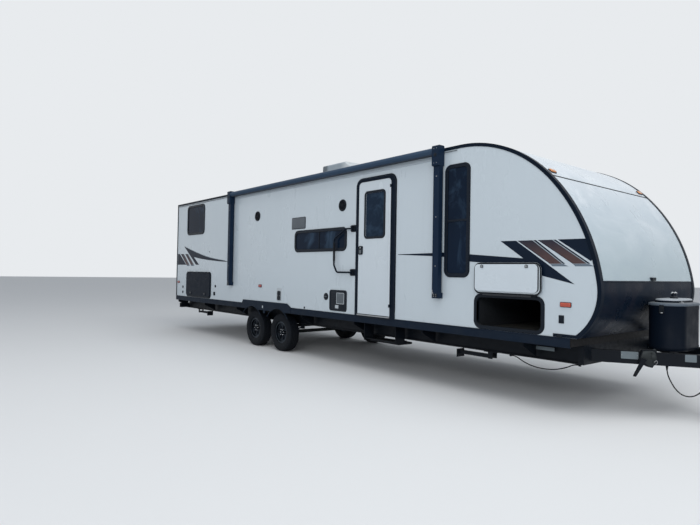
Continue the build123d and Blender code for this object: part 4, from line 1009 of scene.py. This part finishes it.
def make_hatch_frame_dress():
    """Seals round the hatch openings: a thin line on the wall and a deeper one set into each opening."""
    piece = Piece("hatch_frame_dress")
    for limits, r, side in ((FRONT_HATCH, 90, -1), (FRONT_HATCH, 90, 1), (REAR_HATCH, 75, -1)):
        piece.add(ring(*inset(limits, -4), r + 4, 5, 0, 4, 1.2, side, 12), "seal")
        piece.add(ring(*inset(limits, 30), r - 30, 8, -30, 7.5, 2, side, 10), "seal")
    piece.done()


make_open_hatch_dress()
make_shut_hatch_dress("front_left_hatch", FRONT_HATCH, 1, "door", (8990, 9350))
make_shut_hatch_dress("rear_hatch", REAR_HATCH, -1, "trim", (860, 1586))
make_hatch_frame_dress()


# Wall fittings. The rows are the arguments of pad, ring, boss and stud.

def make_speaker(piece, lo, hi, z_lo, z_hi):
    """Outdoor speaker: rounded bezel, dished grille of short slots and a middle boss."""
    s_mid, z_mid = (lo + hi) / 2, (z_lo + z_hi) / 2
    half = (hi - lo) / 2

    def dish(n, *profile, closed=False):
        piece.add(boss(profile, s_mid, 0, z_mid, -1, n, closed), "plastic")

    piece.add(pad(lo, hi, z_lo, z_hi, 89, -1, 8, 4, n=12), "plastic")
    dish(44, (half * 0.86, 6), (half * 0.9, 12), (half * 0.86, 14), (half * 0.8, 13), (half * 0.74, 8))
    for k, share in enumerate((0.22, 0.36, 0.5, 0.64)):
        r, high = half * share, 11 - k * 0.6
        dish(36, (r, 7), (r, high), (r + 4, high), (r + 4, 7), closed=True)
    for i in range(8):
        a = math.pi * i / 4 + 0.2
        ends = ((half * share, lift) for share, lift in ((0.16, 10), (0.76, 9)))
        piece.add(rod(*((s_mid + r * math.cos(a), -(WALL + lift), z_mid + r * math.sin(a)) for r, lift in ends),
                      2.4, 8), "plastic")
    dish(24, (half * 0.15, 6), (half * 0.15, 13), (half * 0.08, 14), (0, 14))


def make_wall_fittings():
    """Small things on the right wall and the little lamp on the nose."""
    piece = Piece("wall_fittings")
    make_speaker(piece, 3667, 3858, 2333, 2513)
    make_speaker(piece, 6188, 6368, 2324, 2504)
    piece.add(pad(4920, 5318, 2114, 2310, 16, -1, 7, 3), "plastic")
    piece.add(pad(4930, 5308, 2124, 2300, 12, 5, 9.4, 2), "grey_plastic")
    piece.rows(boss, "plastic", ([(55, -1), (55, 6), (50, 10), (42, 11), (40, 8), (38, 8)], 5907, 0, 1025, -1, 44),
               ([(38, 6), (37, 13), (30, 15.6), (0, 15.6)], 5907, 0, 1025, -1, 36))
    piece.add(pad(5872, 5942, 1019, 1031, 4, 14, 15.9, 1), "grey_plastic")
    for lo, hi, z_lo, z_hi in ((358, 408, 985, 1025), (358, 408, 865, 905), (2045, 2090, 1048, 1086)):
        piece.add(pad(lo - 3, hi + 3, z_lo - 8, z_hi + 8, 14, -1, 6, 2.5), "plastic")
        # A near-black dome in the painted-shade finish.
        piece.add(boss([(17, 0), (17, 10), (13, 12), (0, 12)], (lo + hi) / 2, 0, (z_lo + z_hi) / 2), "painted_shade_dark")
    piece.rows(pad, "plastic", (1985, 2065, 872, 948, 8, -1, 5, 2.5), (1992, 2058, 882, 940, 6, 4, 11.6, 4),
               (9770, 9827, 929, 1011, 6, -1, 5, 2), (9775, 9822, 938, 1003, 5, 4, 11.6, 4),
               (9757, 9813, 786, 816, 3, 6, 14, 2))
    piece.add(pad(4480, 4633, 888, 1109, 14, -1, 6, 2), "pale_plastic")
    piece.add(pad(4494, 4619, 896, 1060, 24, 4, 8, 2), "grey_plastic")
    inlet = [(42, -5), (42, 3.4), (34, 5), (18, 5), (16, 3), (0, 3)]
    piece.rows(boss, "plastic", *((inlet, 4556, 12, z, -1, 30) for z in (940, 1020)))
    piece.add(stud(1754, 0, 1797, 14, 6, n=20), "plastic")
    piece.add(pad(5318, 5342, 800, 832, 3, -1, 10, 2), "plastic")
    s = front_at(1388)[0]
    piece.rows(box, "plastic", (s - 8, s + 16, -60, 60, 1370, 1406), (s + 10, s + 23, -48, 48, 1377, 1400))
    piece.done("side_fittings", ease=1.2)


def louvres(piece, lo, hi, z_lo, z_hi, count, low, high, side, finish):
    """Slanted blades one above the other, between two lifts."""
    pitch = (z_hi - z_lo) / count
    for i in range(count):
        z = z_lo + pitch * i
        section = ((low, z + pitch * 0.9), (low, z + pitch * 0.55), (high, z + pitch * 0.1),
                   (high, z + pitch * 0.35))
        piece.add(moulding(section, lo, hi, side), finish)


def make_appliance_panels():
    """Heater and water heater doors and vents: framed panels with blades, a mesh square and turn buttons."""
    piece = Piece("appliance_doors")
    piece.add(pad(6000, 6415, 817, 1135, 42, -1, 5, 2.5, n=10), "plastic")
    piece.add(ring(6000, 6415, 817, 1135, 42, 18, 4, 9.6, n=10), "plastic")
    piece.add(pad(6178, 6350, 932, 1089, 6, 4, 8, 1.5), "grey_plastic")
    piece.add(ring(6172, 6356, 926, 1095, 10, 8, 4, 9.4, 1.5), "pale_plastic")
    for i in range(12):
        s = 6192 + 13 * i
        piece.add(side_box(s - 1, s + 1, WALL + 7, WALL + 9, 940, 1081), "plate")
    piece.add(pad(6142, 6222, 856, 906, 4, 4, 6.4, 1), "pale_plastic")
    louvres(piece, 6038, 6150, 930, 1085, 6, 3, 9, -1, "plastic")
    piece.add(pad(3050, 3450, 1500, 1950, 12, -1, 6, 2, 1), "pale_plastic")
    louvres(piece, 3075, 3425, 1525, 1925, 12, 3, 13.6, 1, "pale_plastic")
    piece.add(ring(3050, 3450, 1500, 1950, 12, 22, 5, 13.8, 2, 1), "pale_plastic")
    piece.add(pad(6000, 6330, 817, 1135, 16, -1, 7, 2, 1), "pale_plastic")
    piece.add(ring(6010, 6320, 827, 1125, 12, 14, 6, 9.8, 1.5, 1), "pale_plastic")
    button = [(32, 0), (32, 3), (28, 3.6), (0, 1.2)]
    piece.rows(boss, "zinc", *((button, 6165, 6.2, z, 1, 30) for z in (930, 1020)))
    piece.add(pad(6700, 6950, 2250, 2400, 10, -1, 9, 2, 1), "pale_plastic")
    louvres(piece, 6720, 6930, 2270, 2380, 3, 7, 15.6, 1, "pale_plastic")
    piece.done("appliance_panels")


make_wall_fittings()
make_appliance_panels()


# Lamps

def make_lamp(piece, limits, side, finish):
    """A side marker: black base and a raised rounded lens."""
    piece.add(pad(*limits, 12, -1, 7, 2.5, side), "plastic")
    dome = ((6, 5), (12, 6), (16, 9), (18.6, 15), (19.6, 22))
    piece.add(loft(stack(limits, 9, dome, side, 6, 0)), finish)


def make_rear_lamp(piece, y, half, z_lo, z_hi):
    """A black base and a red lens on the rear wall, as steps of depth and inset."""
    for steps, r, finish in ((((-2, 0), (14, 0), (18, 3)), 10, "plastic"),
                             (((16, 5), (24, 6), (28, 9), (29.6, 13)), 7, "red")):
        piece.add(loft([[(-depth, a, b) for a, b in rounded(*inset((y - half, y + half, z_lo, z_hi), by), r, 6)]
                        for depth, by in steps]), finish)


def make_brow_lamp(piece, side):
    """A lamp on the roof's forward slope, as steps of lift, half run and half width."""
    ahead = 1100
    run, drop = BROW[0] - ROOF_END[0], ROOF_Z - BROW[1]
    r = (run ** 2 + drop ** 2) / (2 * drop)
    slope = math.asin(ahead / r)
    place = Vector((ROOF_END[0] + ahead, side * 1075, ROOF_Z - r + math.sqrt(r * r - ahead * ahead)))
    down = Vector((math.cos(slope), 0, -math.sin(slope)))
    up = Vector((math.sin(slope), 0, math.cos(slope)))
    for steps, finish in ((((-4, 30, 55), (8, 30, 55), (10, 27, 52)), "plastic"),
                          (((8, 25, 49), (15, 24, 48), (19, 20, 44), (21.4, 13, 37)), "amber")):
        piece.add(loft([[tuple(place + up * lift + down * a + Vector((0, b, 0)))
                         for a, b in rounded(-half_run, half_run, -half_y, half_y, 12, 6)]
                        for lift, half_run, half_y in steps]), finish)


def make_lamps():
    """All lamps: side markers, tail lamps, high rear markers and the two on the brow."""
    red = Piece("red_lamp_set")
    amber = Piece("amber_lamp_set")
    for side in SIDES.values():
        make_lamp(red, (78, 188, 1085, 1140), side, "red")
        make_lamp(amber, (3850, 3960, 1101, 1157), side, "red")
        make_lamp(amber, (9782, 9904, 1092, 1145), side, "orange")
        for y, half, z_lo, z_hi in ((1020, 70, 1000, 1210), (1000, 50, 2790, 2820), (130, 50, 2790, 2820)):
            make_rear_lamp(red, side * y, half, z_lo, z_hi)
        make_brow_lamp(amber, side)
    red.done("red_lamps")
    amber.done("amber_lamps")


make_lamps()


# Awning

def make_awning():
    """Rolled awning: ribbed casing with end caps, and the cloth's hem below it."""
    y, z = -(WALL + 74), ROOF_Z - 30
    lo, hi = ARM_STATIONS
    piece = Piece("awning_case")
    section = []
    count = 72
    for i in range(count):
        a = 2 * math.pi * i / count
        r = {0: 44.8, 1: 44.8, 5: 42.0}.get(i % 9, 43.2)
        section.append((y + r * math.cos(a), z + r * math.sin(a)))
    piece.add(loft([[(s, *p) for p in section] for s in (lo + 30, hi - 30)]), "casing")
    cap = [(20, 0), (38, 3), (44.6, 9), (44.9, 24), (44.9, 44), (43.4, 50)]
    piece.rows(lathe, "plastic", *((cap, (s, y, z), (way, 0, 0), 48) for s, way in ((lo, 1), (hi, -1))))
    for i in range(3):
        a = math.radians(250 + 18 * i)
        place = (y + 43 * math.cos(a), z + 43 * math.sin(a))
        piece.add(rod((lo + 60, *place), (hi - 60, *place), 3.4, 8), "cloth")
    case = piece.done("awning_roller", angle=30)

    hem = Piece("awning_hem")
    down = [i / 12 for i in range(13)]
    gap = 66
    width = hi - lo - 2 * gap
    loops = []
    steps = 60
    for k in range(steps + 1):
        s = lo + gap + width * k / steps
        wave = 0.8 * math.sin(k * 0.9) + 0.6 * math.sin(k * 0.37 + 1)
        front, back = ([(s, wave * math.sin(math.pi * t) + half - (WALL + 42 - 8 * t + 2 * math.sin(math.pi * t)),
                         2886 - 20 * t) for t in down] for half in (-0.4, 0.4))
        loops.append(front + back[::-1])
    hem.add(loft(loops), "cloth")
    hem.done(angle=60)


def make_arm_dress():
    """Foot brackets, knobs and rivets of the awning arms, and the gutter line under the roller."""
    piece = Piece("awning_arm_dress")
    face = 92
    for s in ARM_STATIONS:
        piece.add(pad(s - 40, s + 40, 1118, 1164, 6, face - 1, face + 2.5, 1.5), "plastic")
        piece.rows(pad, "chrome", *((lo, lo + 13, z, z + 17, 3, face - 1, face + 5, 1.5)
                                    for lo, z in ((s - 46, 1188), (s - 38, 1163))))
        piece.rows(stud, "zinc", *((s + d, face + 2, z, 5, 2.4) for z in (1128, 1152) for d in (-18, 18)))
        piece.rows(stud, "zinc", *((s, face - 0.5, z, 7, 3, -1, 14) for z in (1500, 2100, 2600)))
        piece.add(ring(s - 43, s + 43, 1180, 2750, 4, 6, face - 0.5, face + 2.2, 1, n=3), "arm")
        piece.add(boss([(24, 0), (24, 3), (20, 5), (0, 5)], s, 120, 2860, n=26), "plastic")
        piece.rows(stud, "zinc", *((s + d, 121, z, 5, 2.4) for z in (2760, 2940) for d in (22, -22)))
    gutter = ((5, 2889), (13, 2889), (15, 2893), (13, 2896), (8, 2894), (5, 2898))
    piece.rows(moulding, "grey_plastic", *((gutter, 60, 8450, side) for side in SIDES.values()))
    piece.done()


make_awning()
make_arm_dress()


# Roof

def stand(piece, s_mid, finish, *steps, n=8):
    """A moulding that stands on a plan: steps of height, half length, half width and corner radius."""
    piece.add(loft([[(s, y, z) for s, y in rounded(s_mid - half_s, s_mid + half_s, -half_y, half_y, r, n)]
                    for z, half_s, half_y, r in steps]), finish)


def make_air_conditioner():
    """Dress of the roof cooler: base gasket, side slots, rear blades and screws."""
    piece = Piece("cooler_dress")
    stand(piece, 5095, "seal", (2945, 548, 343, 34), (2955, 548, 343, 34), (2958, 545, 340, 32))
    for side in SIDES.values():
        piece.add(ring(4650, 5130, 3025, 3215, 24, 8, 338 - WALL, 342.5 - WALL, 1.5, side), "grey_plastic")
        louvres(piece, 4664, 5116, 3040, 3202, 7, 336 - WALL, 341.6 - WALL, side, "plastic")
        piece.rows(stud, "zinc", *((s, 340 - WALL, 2985, 7, 3, side, 12) for s in (4640, 5400)))
    rear, lean, height = 4550, 25, 420
    for z in range(3030, 3240, 30):
        s = rear + lean * (z - ROOF_Z) / height
        # The rear blades are near-black rods in the painted-shade finish.
        piece.add(rod((s, -250, z), (s, 250, z), 5, 8), "painted_shade_dark")
    piece.rows(box, "grey_plastic", *((4552, 4566, y - 4, y + 4, 3015, 3225) for y in (-262, 262)))
    piece.done(ease=0.8, angle=50)


def make_vents():
    """Two roof vents: a tall cover with stepped sides and blades, and a low lid with ribs."""
    piece = Piece("vent_covers")
    tall, low = 3020, 6890
    tall_top, lean = 3275, 0.2126
    stand(piece, tall, "pale_plastic", (2944, 228, 258, 30), (2958, 228, 258, 30), (2962, 214, 244, 30),
          (3010, 206, 236, 34), (3014, 212, 242, 36), (3120, 190, 220, 44), (3210, 172, 202, 52),
          (3252, 154, 184, 60), (3270, 126, 156, 60), (tall_top, 80, 100, 50))
    for z in range(3040, 3190, 30):
        out = 190 + (tall_top - z) * lean
        for side in SIDES.values():
            # Near-black slots of painted shade along the tall vent's sides.
            piece.add(side_box(tall - 140, tall + 140, out, out + 7, z, z + 12, side), "painted_shade_dark")
    stand(piece, low, "pale_plastic", (2944, 198, 198, 26), (2956, 198, 198, 26), (2960, 188, 188, 26),
          (3004, 186, 186, 30), (3008, 194, 194, 34), (3032, 192, 192, 36), (3044, 176, 176, 44),
          (3050, 120, 120, 40))
    piece.rows(rod, "pale_plastic", *(((low - 120, y, 3043), (low + 120, y, 3043), 4, 8)
                                      for y in range(-110, 165, 55)))
    for mid, reach, out in ((tall, 214, 244), (low, 186, 186)):
        piece.rows(screw, "zinc", *(((mid + way * reach, y, 2957), UP, 7, 3, 12)
                                    for y in (out, -out) for way in (-1, 1)))
    piece.done("roof_vents", angle=45)


def make_roof_trim():
    """Sealed laps across the roof and screw beads along its edges."""
    piece = Piece("roof_seams")
    lap = ((-40, -2), (-40, 2), (-30, 4.5), (30, 4.5), (40, 2), (40, -2))
    for s in (20, 8470):
        piece.add(loft([[(s + d, y, ROOF_Z + lift) for d, lift in lap] for y in (-1150, 1150)]), "pale_plastic")
    for side in SIDES.values():
        piece.rows(screw, "pale_plastic", *(((60 + 121 * i, side * 1188, ROOF_Z + 5.5), UP, 6, 2.5, 8)
                                            for i in range(70)))
    piece.done()


make_air_conditioner()
make_vents()
make_roof_trim()


# Front

def make_front_trim():
    """Joints across the front cap and the bead between its white and black parts."""
    piece = Piece("front_trim")
    piece.add(strip_across(2446, 20, 2.0, 1160), "seal")
    piece.add(strip_across(1358, 16, 4.0, 1165), "trim")
    rail = FRONT[4:-2:3]
    bead = ((1160, -2), (1160, 3.4), (1163, 5.2), (1168, 5.2), (1171, 3.4), (1171, -2))
    for side in SIDES.values():
        loops = []
        for (s, z), (s2, z2) in zip(rail, rail[1:]):
            out = Vector((z - z2, s2 - s)).normalized()
            spots = [(y, Vector((s, z)) + out * lift) for y, lift in bead]
            loops.append([(p[0], side * y, p[1]) for y, p in spots])
        piece.add(loft(loops), "seal")
    piece.done(angle=50)


make_front_trim()


# Gas bottle cover

COVER_MID = BODY_LENGTH + 208


def make_cover():
    """Moulded cover: ribbed drum, a rim and a raised lid in greys of painted sky highlight, a black ring round the
    lid, and side clamps.
    """
    piece = Piece("gas_cover_shell")
    stand(piece, COVER_MID, "cover", (660, 176, 325, 172), (664, 180, 329, 176), (700, 181, 330, 177),
          (704, 178, 327, 175), (1060, 178, 327, 175), (1090, 181, 330, 178), (1119, 181, 330, 178), n=20)
    # The flange, grey from a painted highlight.
    stand(piece, COVER_MID, "cover_rim", (1116, 181, 330, 178), (1119, 185, 334, 182), (1122, 187, 336, 184),
          (1134, 187, 336, 184), (1145, 178, 327, 176), (1150, 150, 299, 148), (1151, 130, 279, 128), n=20)
    stand(piece, COVER_MID, "cover", (1149, 122, 271, 120), (1152, 126, 275, 124), (1160, 126, 275, 124),
          (1170, 121, 270, 119), n=20)
    # The raised lid, pale from a painted highlight.
    stand(piece, COVER_MID, "cover_lid", (1168, 119, 268, 117), (1178, 118, 267, 116), (1184, 112, 261, 110),
          (1188, 92, 240, 90), (1188.6, 40, 180, 38), n=20)
    for side in SIDES.values():
        piece.add(side_box(COVER_MID - 22, COVER_MID + 22, 326, 336, 1040, 1126, side), "seal")
        piece.add(rod((COVER_MID - 14, side * 338, 1046), (COVER_MID + 14, side * 338, 1046), 6, 12), "zinc")
    piece.done("gas_cover", ease=1.0, angle=45)


def make_cover_handle():
    """Plated wing handle on a black boss, and the plated clamp beside it."""
    piece = Piece("cover_wing")
    mid, z = COVER_MID, 1188
    foot = [(38, 0), (38, 8), (34, 15), (27, 20), (24, 36), (27, 48), (22, 56), (0, 58)]
    piece.add(lathe(foot, (mid, 0, z), UP, 36), "plastic")
    half = [(70, 56), (62, 58), (40, 63), (14, 56)]
    wing = [(-y, up) for y, up in half] + [(0, 50)] + half[::-1]
    piece.add(pipe(flow([(mid, y, z + up) for y, up in wing], 5), 7, 12), "chrome")
    piece.add(rod((mid, 0, z + 40), (mid, 0, z + 58), 7, 14), "chrome")
    piece.add(box(mid + 118, mid + 150, -196, -160, 1149, 1156), "chrome")
    piece.add(rod((mid + 134, -178, 1155), (mid + 134, -178, 1166), 7, 14), "zinc")
    piece.done("gas_cover_handle")


make_cover()
make_cover_handle()


# Tongue. Its rails run from the root to the tip, at an angle to the centre plane.

RAIL_ROOT, RAIL_TIP = (9890, 740), (11080, 50)
RAIL_HALF = 30
RAIL_ANGLE = math.radians(30.1)
BRACKET_STATION = 10340


def make_jack_dress():
    """Power head's rounded cap, seam, switch, lamp and the crank plug; pinned lower tube."""
    piece = Piece("jack_dress")
    mid = JACK_STATION
    head = mid + 5
    stand(piece, head, "plastic", (1008, 64, 66, 24), (1012, 67, 69, 26), (1020, 67, 69, 26), (1022, 66, 68, 26))
    stand(piece, head, "plastic", (1198, 69, 69, 27), (1201, 70.4, 70.4, 27), (1206, 69, 69, 27),
          (1214, 62, 62, 26), (1218, 48, 48, 24))
    piece.add(lathe([(16, 0), (16, 6), (12, 9), (0, 9)], (head, 0, 1216), UP, 24), "seal")
    piece.add(box(mid + 72, mid + 78, -40, 40, 1070, 1150), "plastic")
    piece.add(box(mid + 76, mid + 84, -10, 10, 1095, 1125), "grey_plastic")
    piece.add(rod((mid + 60, 0, 1040), (mid + 80, 0, 1034), 13, 20), "pale_plastic")
    for degrees in (30, 150, 270):
        a = math.radians(degrees)
        piece.add(hex_nut((mid + 58 * math.cos(a), 58 * math.sin(a), 669), UP, 8, 6), "zinc")
    piece.add(rod((mid - 52, 0, 372), (mid + 52, 0, 372), 6, 12), "zinc")
    piece.done(ease=1.0)


def tongue_face(station):
    """Out distance of the tongue rail's outer face at a station."""
    share = (station - RAIL_ROOT[0]) / (RAIL_TIP[0] - RAIL_ROOT[0])
    return RAIL_ROOT[1] * (1 - share) + RAIL_TIP[1] * share + RAIL_HALF / math.cos(RAIL_ANGLE)


def rail_plate(lo, hi, z_lo, z_hi):
    """A blank plate that lies on the right rail's outer face."""
    outline = rounded(lo, hi, z_lo, z_hi, 6, 5)
    return loft([[(s, -(tongue_face(s) + lift), z) for s, z in outline] for lift in (0.2, 2.5)])


def make_tongue_dress():
    """Blank plates on the rails, weld beads, and the bolts of the coupler."""
    piece = Piece("tongue_dress")
    piece.rows(rail_plate, "plate", (10130, 10268, 573, 648), (10623, 10709, 578, 650))
    piece.add(pad(9346, 9569, 598, 636, 4, 936 - WALL, 939 - WALL, 1), "plate")
    piece.rows(screw, "zinc", *(((s, -(tongue_face(s) + 2), 610), (0.5, -0.87, 0), 4, 2) for s in (10137, 10261)))
    piece.rows(hex_nut, "zinc", *(((s, 0, 662), UP, 9, 8) for s in (11000, 11060)))
    piece.add(pipe([(10985 + 5 * i, -48 - i % 2, 651) for i in range(24)], 3.2, 8), "steel")
    piece.add(rod((11095, -16, 684), (11165, 0, 700), 7, 12), "zinc")
    piece.done(ease=0.6)


def on_rail(along, z, lift, side):
    """A point off a tongue rail's outer face, by its distance ahead of the bracket's middle."""
    c, w = math.cos(RAIL_ANGLE), math.sin(RAIL_ANGLE)
    return (BRACKET_STATION + c * along + w * lift,
            side * (tongue_face(BRACKET_STATION) - w * along + c * lift), z)


def make_spring_bar_brackets():
    """Dress of the snap-up brackets: cheek plate, roller and pins with a clip, and the grip on the lever."""
    piece = Piece("lift_bracket")
    cheek = flow([(-50, 662), (-20, 668), (40, 670), (58, 655), (70, 610), (62, 560), (34, 520), (4, 520),
                  (-30, 545), (-62, 570), (-66, 610)], 4)
    hook = ((20, 640, 20), (30, 668, 26), (56, 684, 24), (74, 660, 20))
    clip = ((48, 562, 60), (66, 580, 59), (78, 560, 57), (62, 540, 56))
    for side in SIDES.values():
        outward = Vector(on_rail(0, 0, 1, side)) - Vector(on_rail(0, 0, 0, side))
        piece.add(loft([[on_rail(6 + (a - 6) * shrink, 600 + (z - 600) * shrink, lift, side) for a, z in cheek]
                        for lift, shrink in ((45, 1.0), (49, 1.0), (50.5, 0.96))]), "worn_steel")
        for a, z, r in ((40, 608, 22), (30, 652, 11), (48, 560, 12)):
            knob = [(r, 0), (r, 7), (r * 0.8, 10), (r * 0.4, 11), (0, 11)]
            piece.add(lathe(knob, on_rail(a, z, 49, side), outward, 26), "worn_steel")
        piece.add(pipe(flow([on_rail(*p, side) for p in hook], 6), 7, 12), "worn_steel")
        low, high = (Vector(on_rail(*p, side)) for p in ((-125, 410, 53), (-105, 462, 53)))
        piece.add(lathe([(11, 0), (14.5, 4), (14.5, 50), (12, 56)], low, high - low, 20), "grip")
        piece.add(pipe(flow([on_rail(*p, side) for p in clip], 5), 2.4, 8), "zinc")
    piece.done(angle=45)


make_jack_dress()
make_tongue_dress()
make_spring_bar_brackets()


# Underside

SPRING_OUT = 900


def make_axle_dress():
    """U-bolts and plates that clamp the axles to the springs, and backing plates of the drums."""
    piece = Piece("axle_clamps")
    reach = 27
    for station in WHEEL_STATIONS.values():
        for side in SIDES.values():
            y = side * SPRING_OUT
            piece.add(box(station - 62, station + 62, y - 30, y + 30, 396, 406), "steel")
            for s in (station - 36, station + 36):
                angles = [math.pi * i / 10 for i in range(11)]
                bend = [(s, y + reach * math.cos(a), TYRE_R - 24 - 12 * math.sin(a)) for a in angles]
                piece.add(pipe([(s, y + reach, 424), *bend, (s, y - reach, 424)], 5, 10), "zinc")
                piece.rows(hex_nut, "zinc", *(((s, y + d, 406), UP, 9, 8) for d in (-reach, reach)))
            drum = [(40, 0), (118, 2), (131, 4), (133, 8), (131, 10)]
            piece.add(lathe(drum, (station, side * (WHEEL_OUT - 92), TYRE_R), (0, side, 0), 44), "steel")
    piece.done(ease=0.8)


def make_step_dress():
    """Grip studs on the tread, every other row set over by half a pitch."""
    piece = Piece("step_grip", "step")
    for i in range(9):
        piece.rows(screw, "worn_steel", *(((6738 + 33 * k + 16 * (i % 2), -1000 + 28 * i, 440), UP, 6, 2.5, 8)
                                          for k in range(17)))
    piece.done()


def make_skirt_dress():
    """Rivets along the skirt, the beads at its edges and round the wheel arches, and a plate between the wheels."""
    piece = Piece("skirt_dress")
    beads = (((5, 690), (8.5, 690), (10, 694), (8.5, 699), (5, 700)),
             ((5, 776), (9, 778), (10, 784), (9, 789), (0, 790)))
    arch = ((412, 8), (412, 15), (415, 17), (421, 17), (424, 15), (424, 8))
    for side in SIDES.values():
        piece.rows(stud, "plastic", *((s, 6, 770, 5, 2, side)
                                      for s in (*range(120, 3180, 300), *range(5060, 9860, 300))))
        piece.rows(moulding, "skirt", *((bead, lo, hi, side) for lo, hi in ((4, 3170), (4942, 9884))
                                        for bead in beads))
        for station in WHEEL_STATIONS.values():
            angles = [math.radians(38 + 104 * i / 32) for i in range(33)]
            piece.add(loft([[(station + r * math.cos(a), side * (WALL + lift), TYRE_R + r * math.sin(a))
                             for r, lift in arch] for a in angles]), "skirt")
        if side < 0:
            piece.add(pad(4006, 4034, 728, 772, 4, 11, 14, 1), "pale_plastic")
    piece.done(angle=45)


make_axle_dress()
make_step_dress()
make_skirt_dress()


# Floor, world and lamps

def make_stage():
    """A wide pale floor that keeps the shadow, under a pale plain sky."""
    mesh = bpy.data.meshes.new("studio_floor")
    reach = 90
    mesh.from_pydata([(-reach, -reach, 0), (reach, -reach, 0), (reach, reach, 0), (-reach, reach, 0)], [],
                     [(0, 1, 2, 3)])
    floor = show("studio_floor", mesh)
    made = Finish("studio_floor", srgb(222, 224, 226), 0.9, specular=0.1).mottle(0.6, 0.06, dark=0.92)
    mesh.materials.append(made.grain(60, 0.04, 0.002).material)


def make_world():
    """A dim sky that lights the object, and a brighter one where the camera or a reflection sees it."""
    world = bpy.data.worlds.new("studio")
    bpy.context.scene.world = world
    world.use_nodes = True
    tree = world.node_tree
    shell = tree.nodes["Background"]
    seen = tree.nodes.new("ShaderNodeBackground")
    for sky, colour, strength in ((shell, srgb(226, 231, 237), 0.6), (seen, srgb(232, 235, 238), 1.0)):
        sky.inputs["Color"].default_value = colour
        sky.inputs["Strength"].default_value = strength
    path = tree.nodes.new("ShaderNodeLightPath")
    share = path.outputs["Is Camera Ray"]
    for ray in ("Is Glossy Ray", "Is Transmission Ray"):
        either = tree.nodes.new("ShaderNodeMath")
        either.operation = "MAXIMUM"
        tree.links.new(share, either.inputs[0])
        tree.links.new(path.outputs[ray], either.inputs[1])
        share = either.outputs[0]
    mix = tree.nodes.new("ShaderNodeMixShader")
    for source, socket in ((share, "Fac"), (shell.outputs[0], 1), (seen.outputs[0], 2)):
        tree.links.new(source, mix.inputs[socket])
    tree.links.new(mix.outputs["Shader"], tree.nodes["World Output"].inputs["Surface"])


def make_light(name, place, target, size, energy, colour):
    """A soft lamp that the camera doesn't see."""
    data = bpy.data.lights.new(name, "AREA")
    data.shape = "RECTANGLE"
    data.size, data.size_y = size
    data.energy = energy
    data.color = colour
    light = show(name, data)
    light.location = place
    light.rotation_euler = (Vector(target) - Vector(place)).to_track_quat("-Z", "Y").to_euler()
    light.visible_camera = False


make_stage()
make_world()
make_light("overhead", (1, -2, 13), (-4, 0, 1.5), (16, 9), 1000, (1.0, 0.99, 0.97))
make_light("front", (11, -2, 7), (-1, 0, 1.6), (8, 6), 220, (0.97, 0.99, 1.0))
make_light("side", (10, -18, 8.5), (-4, 0, 1.3), (14, 7), 1380, (1.0, 1.0, 1.0))

bpy.context.scene.view_settings.view_transform = "Standard"
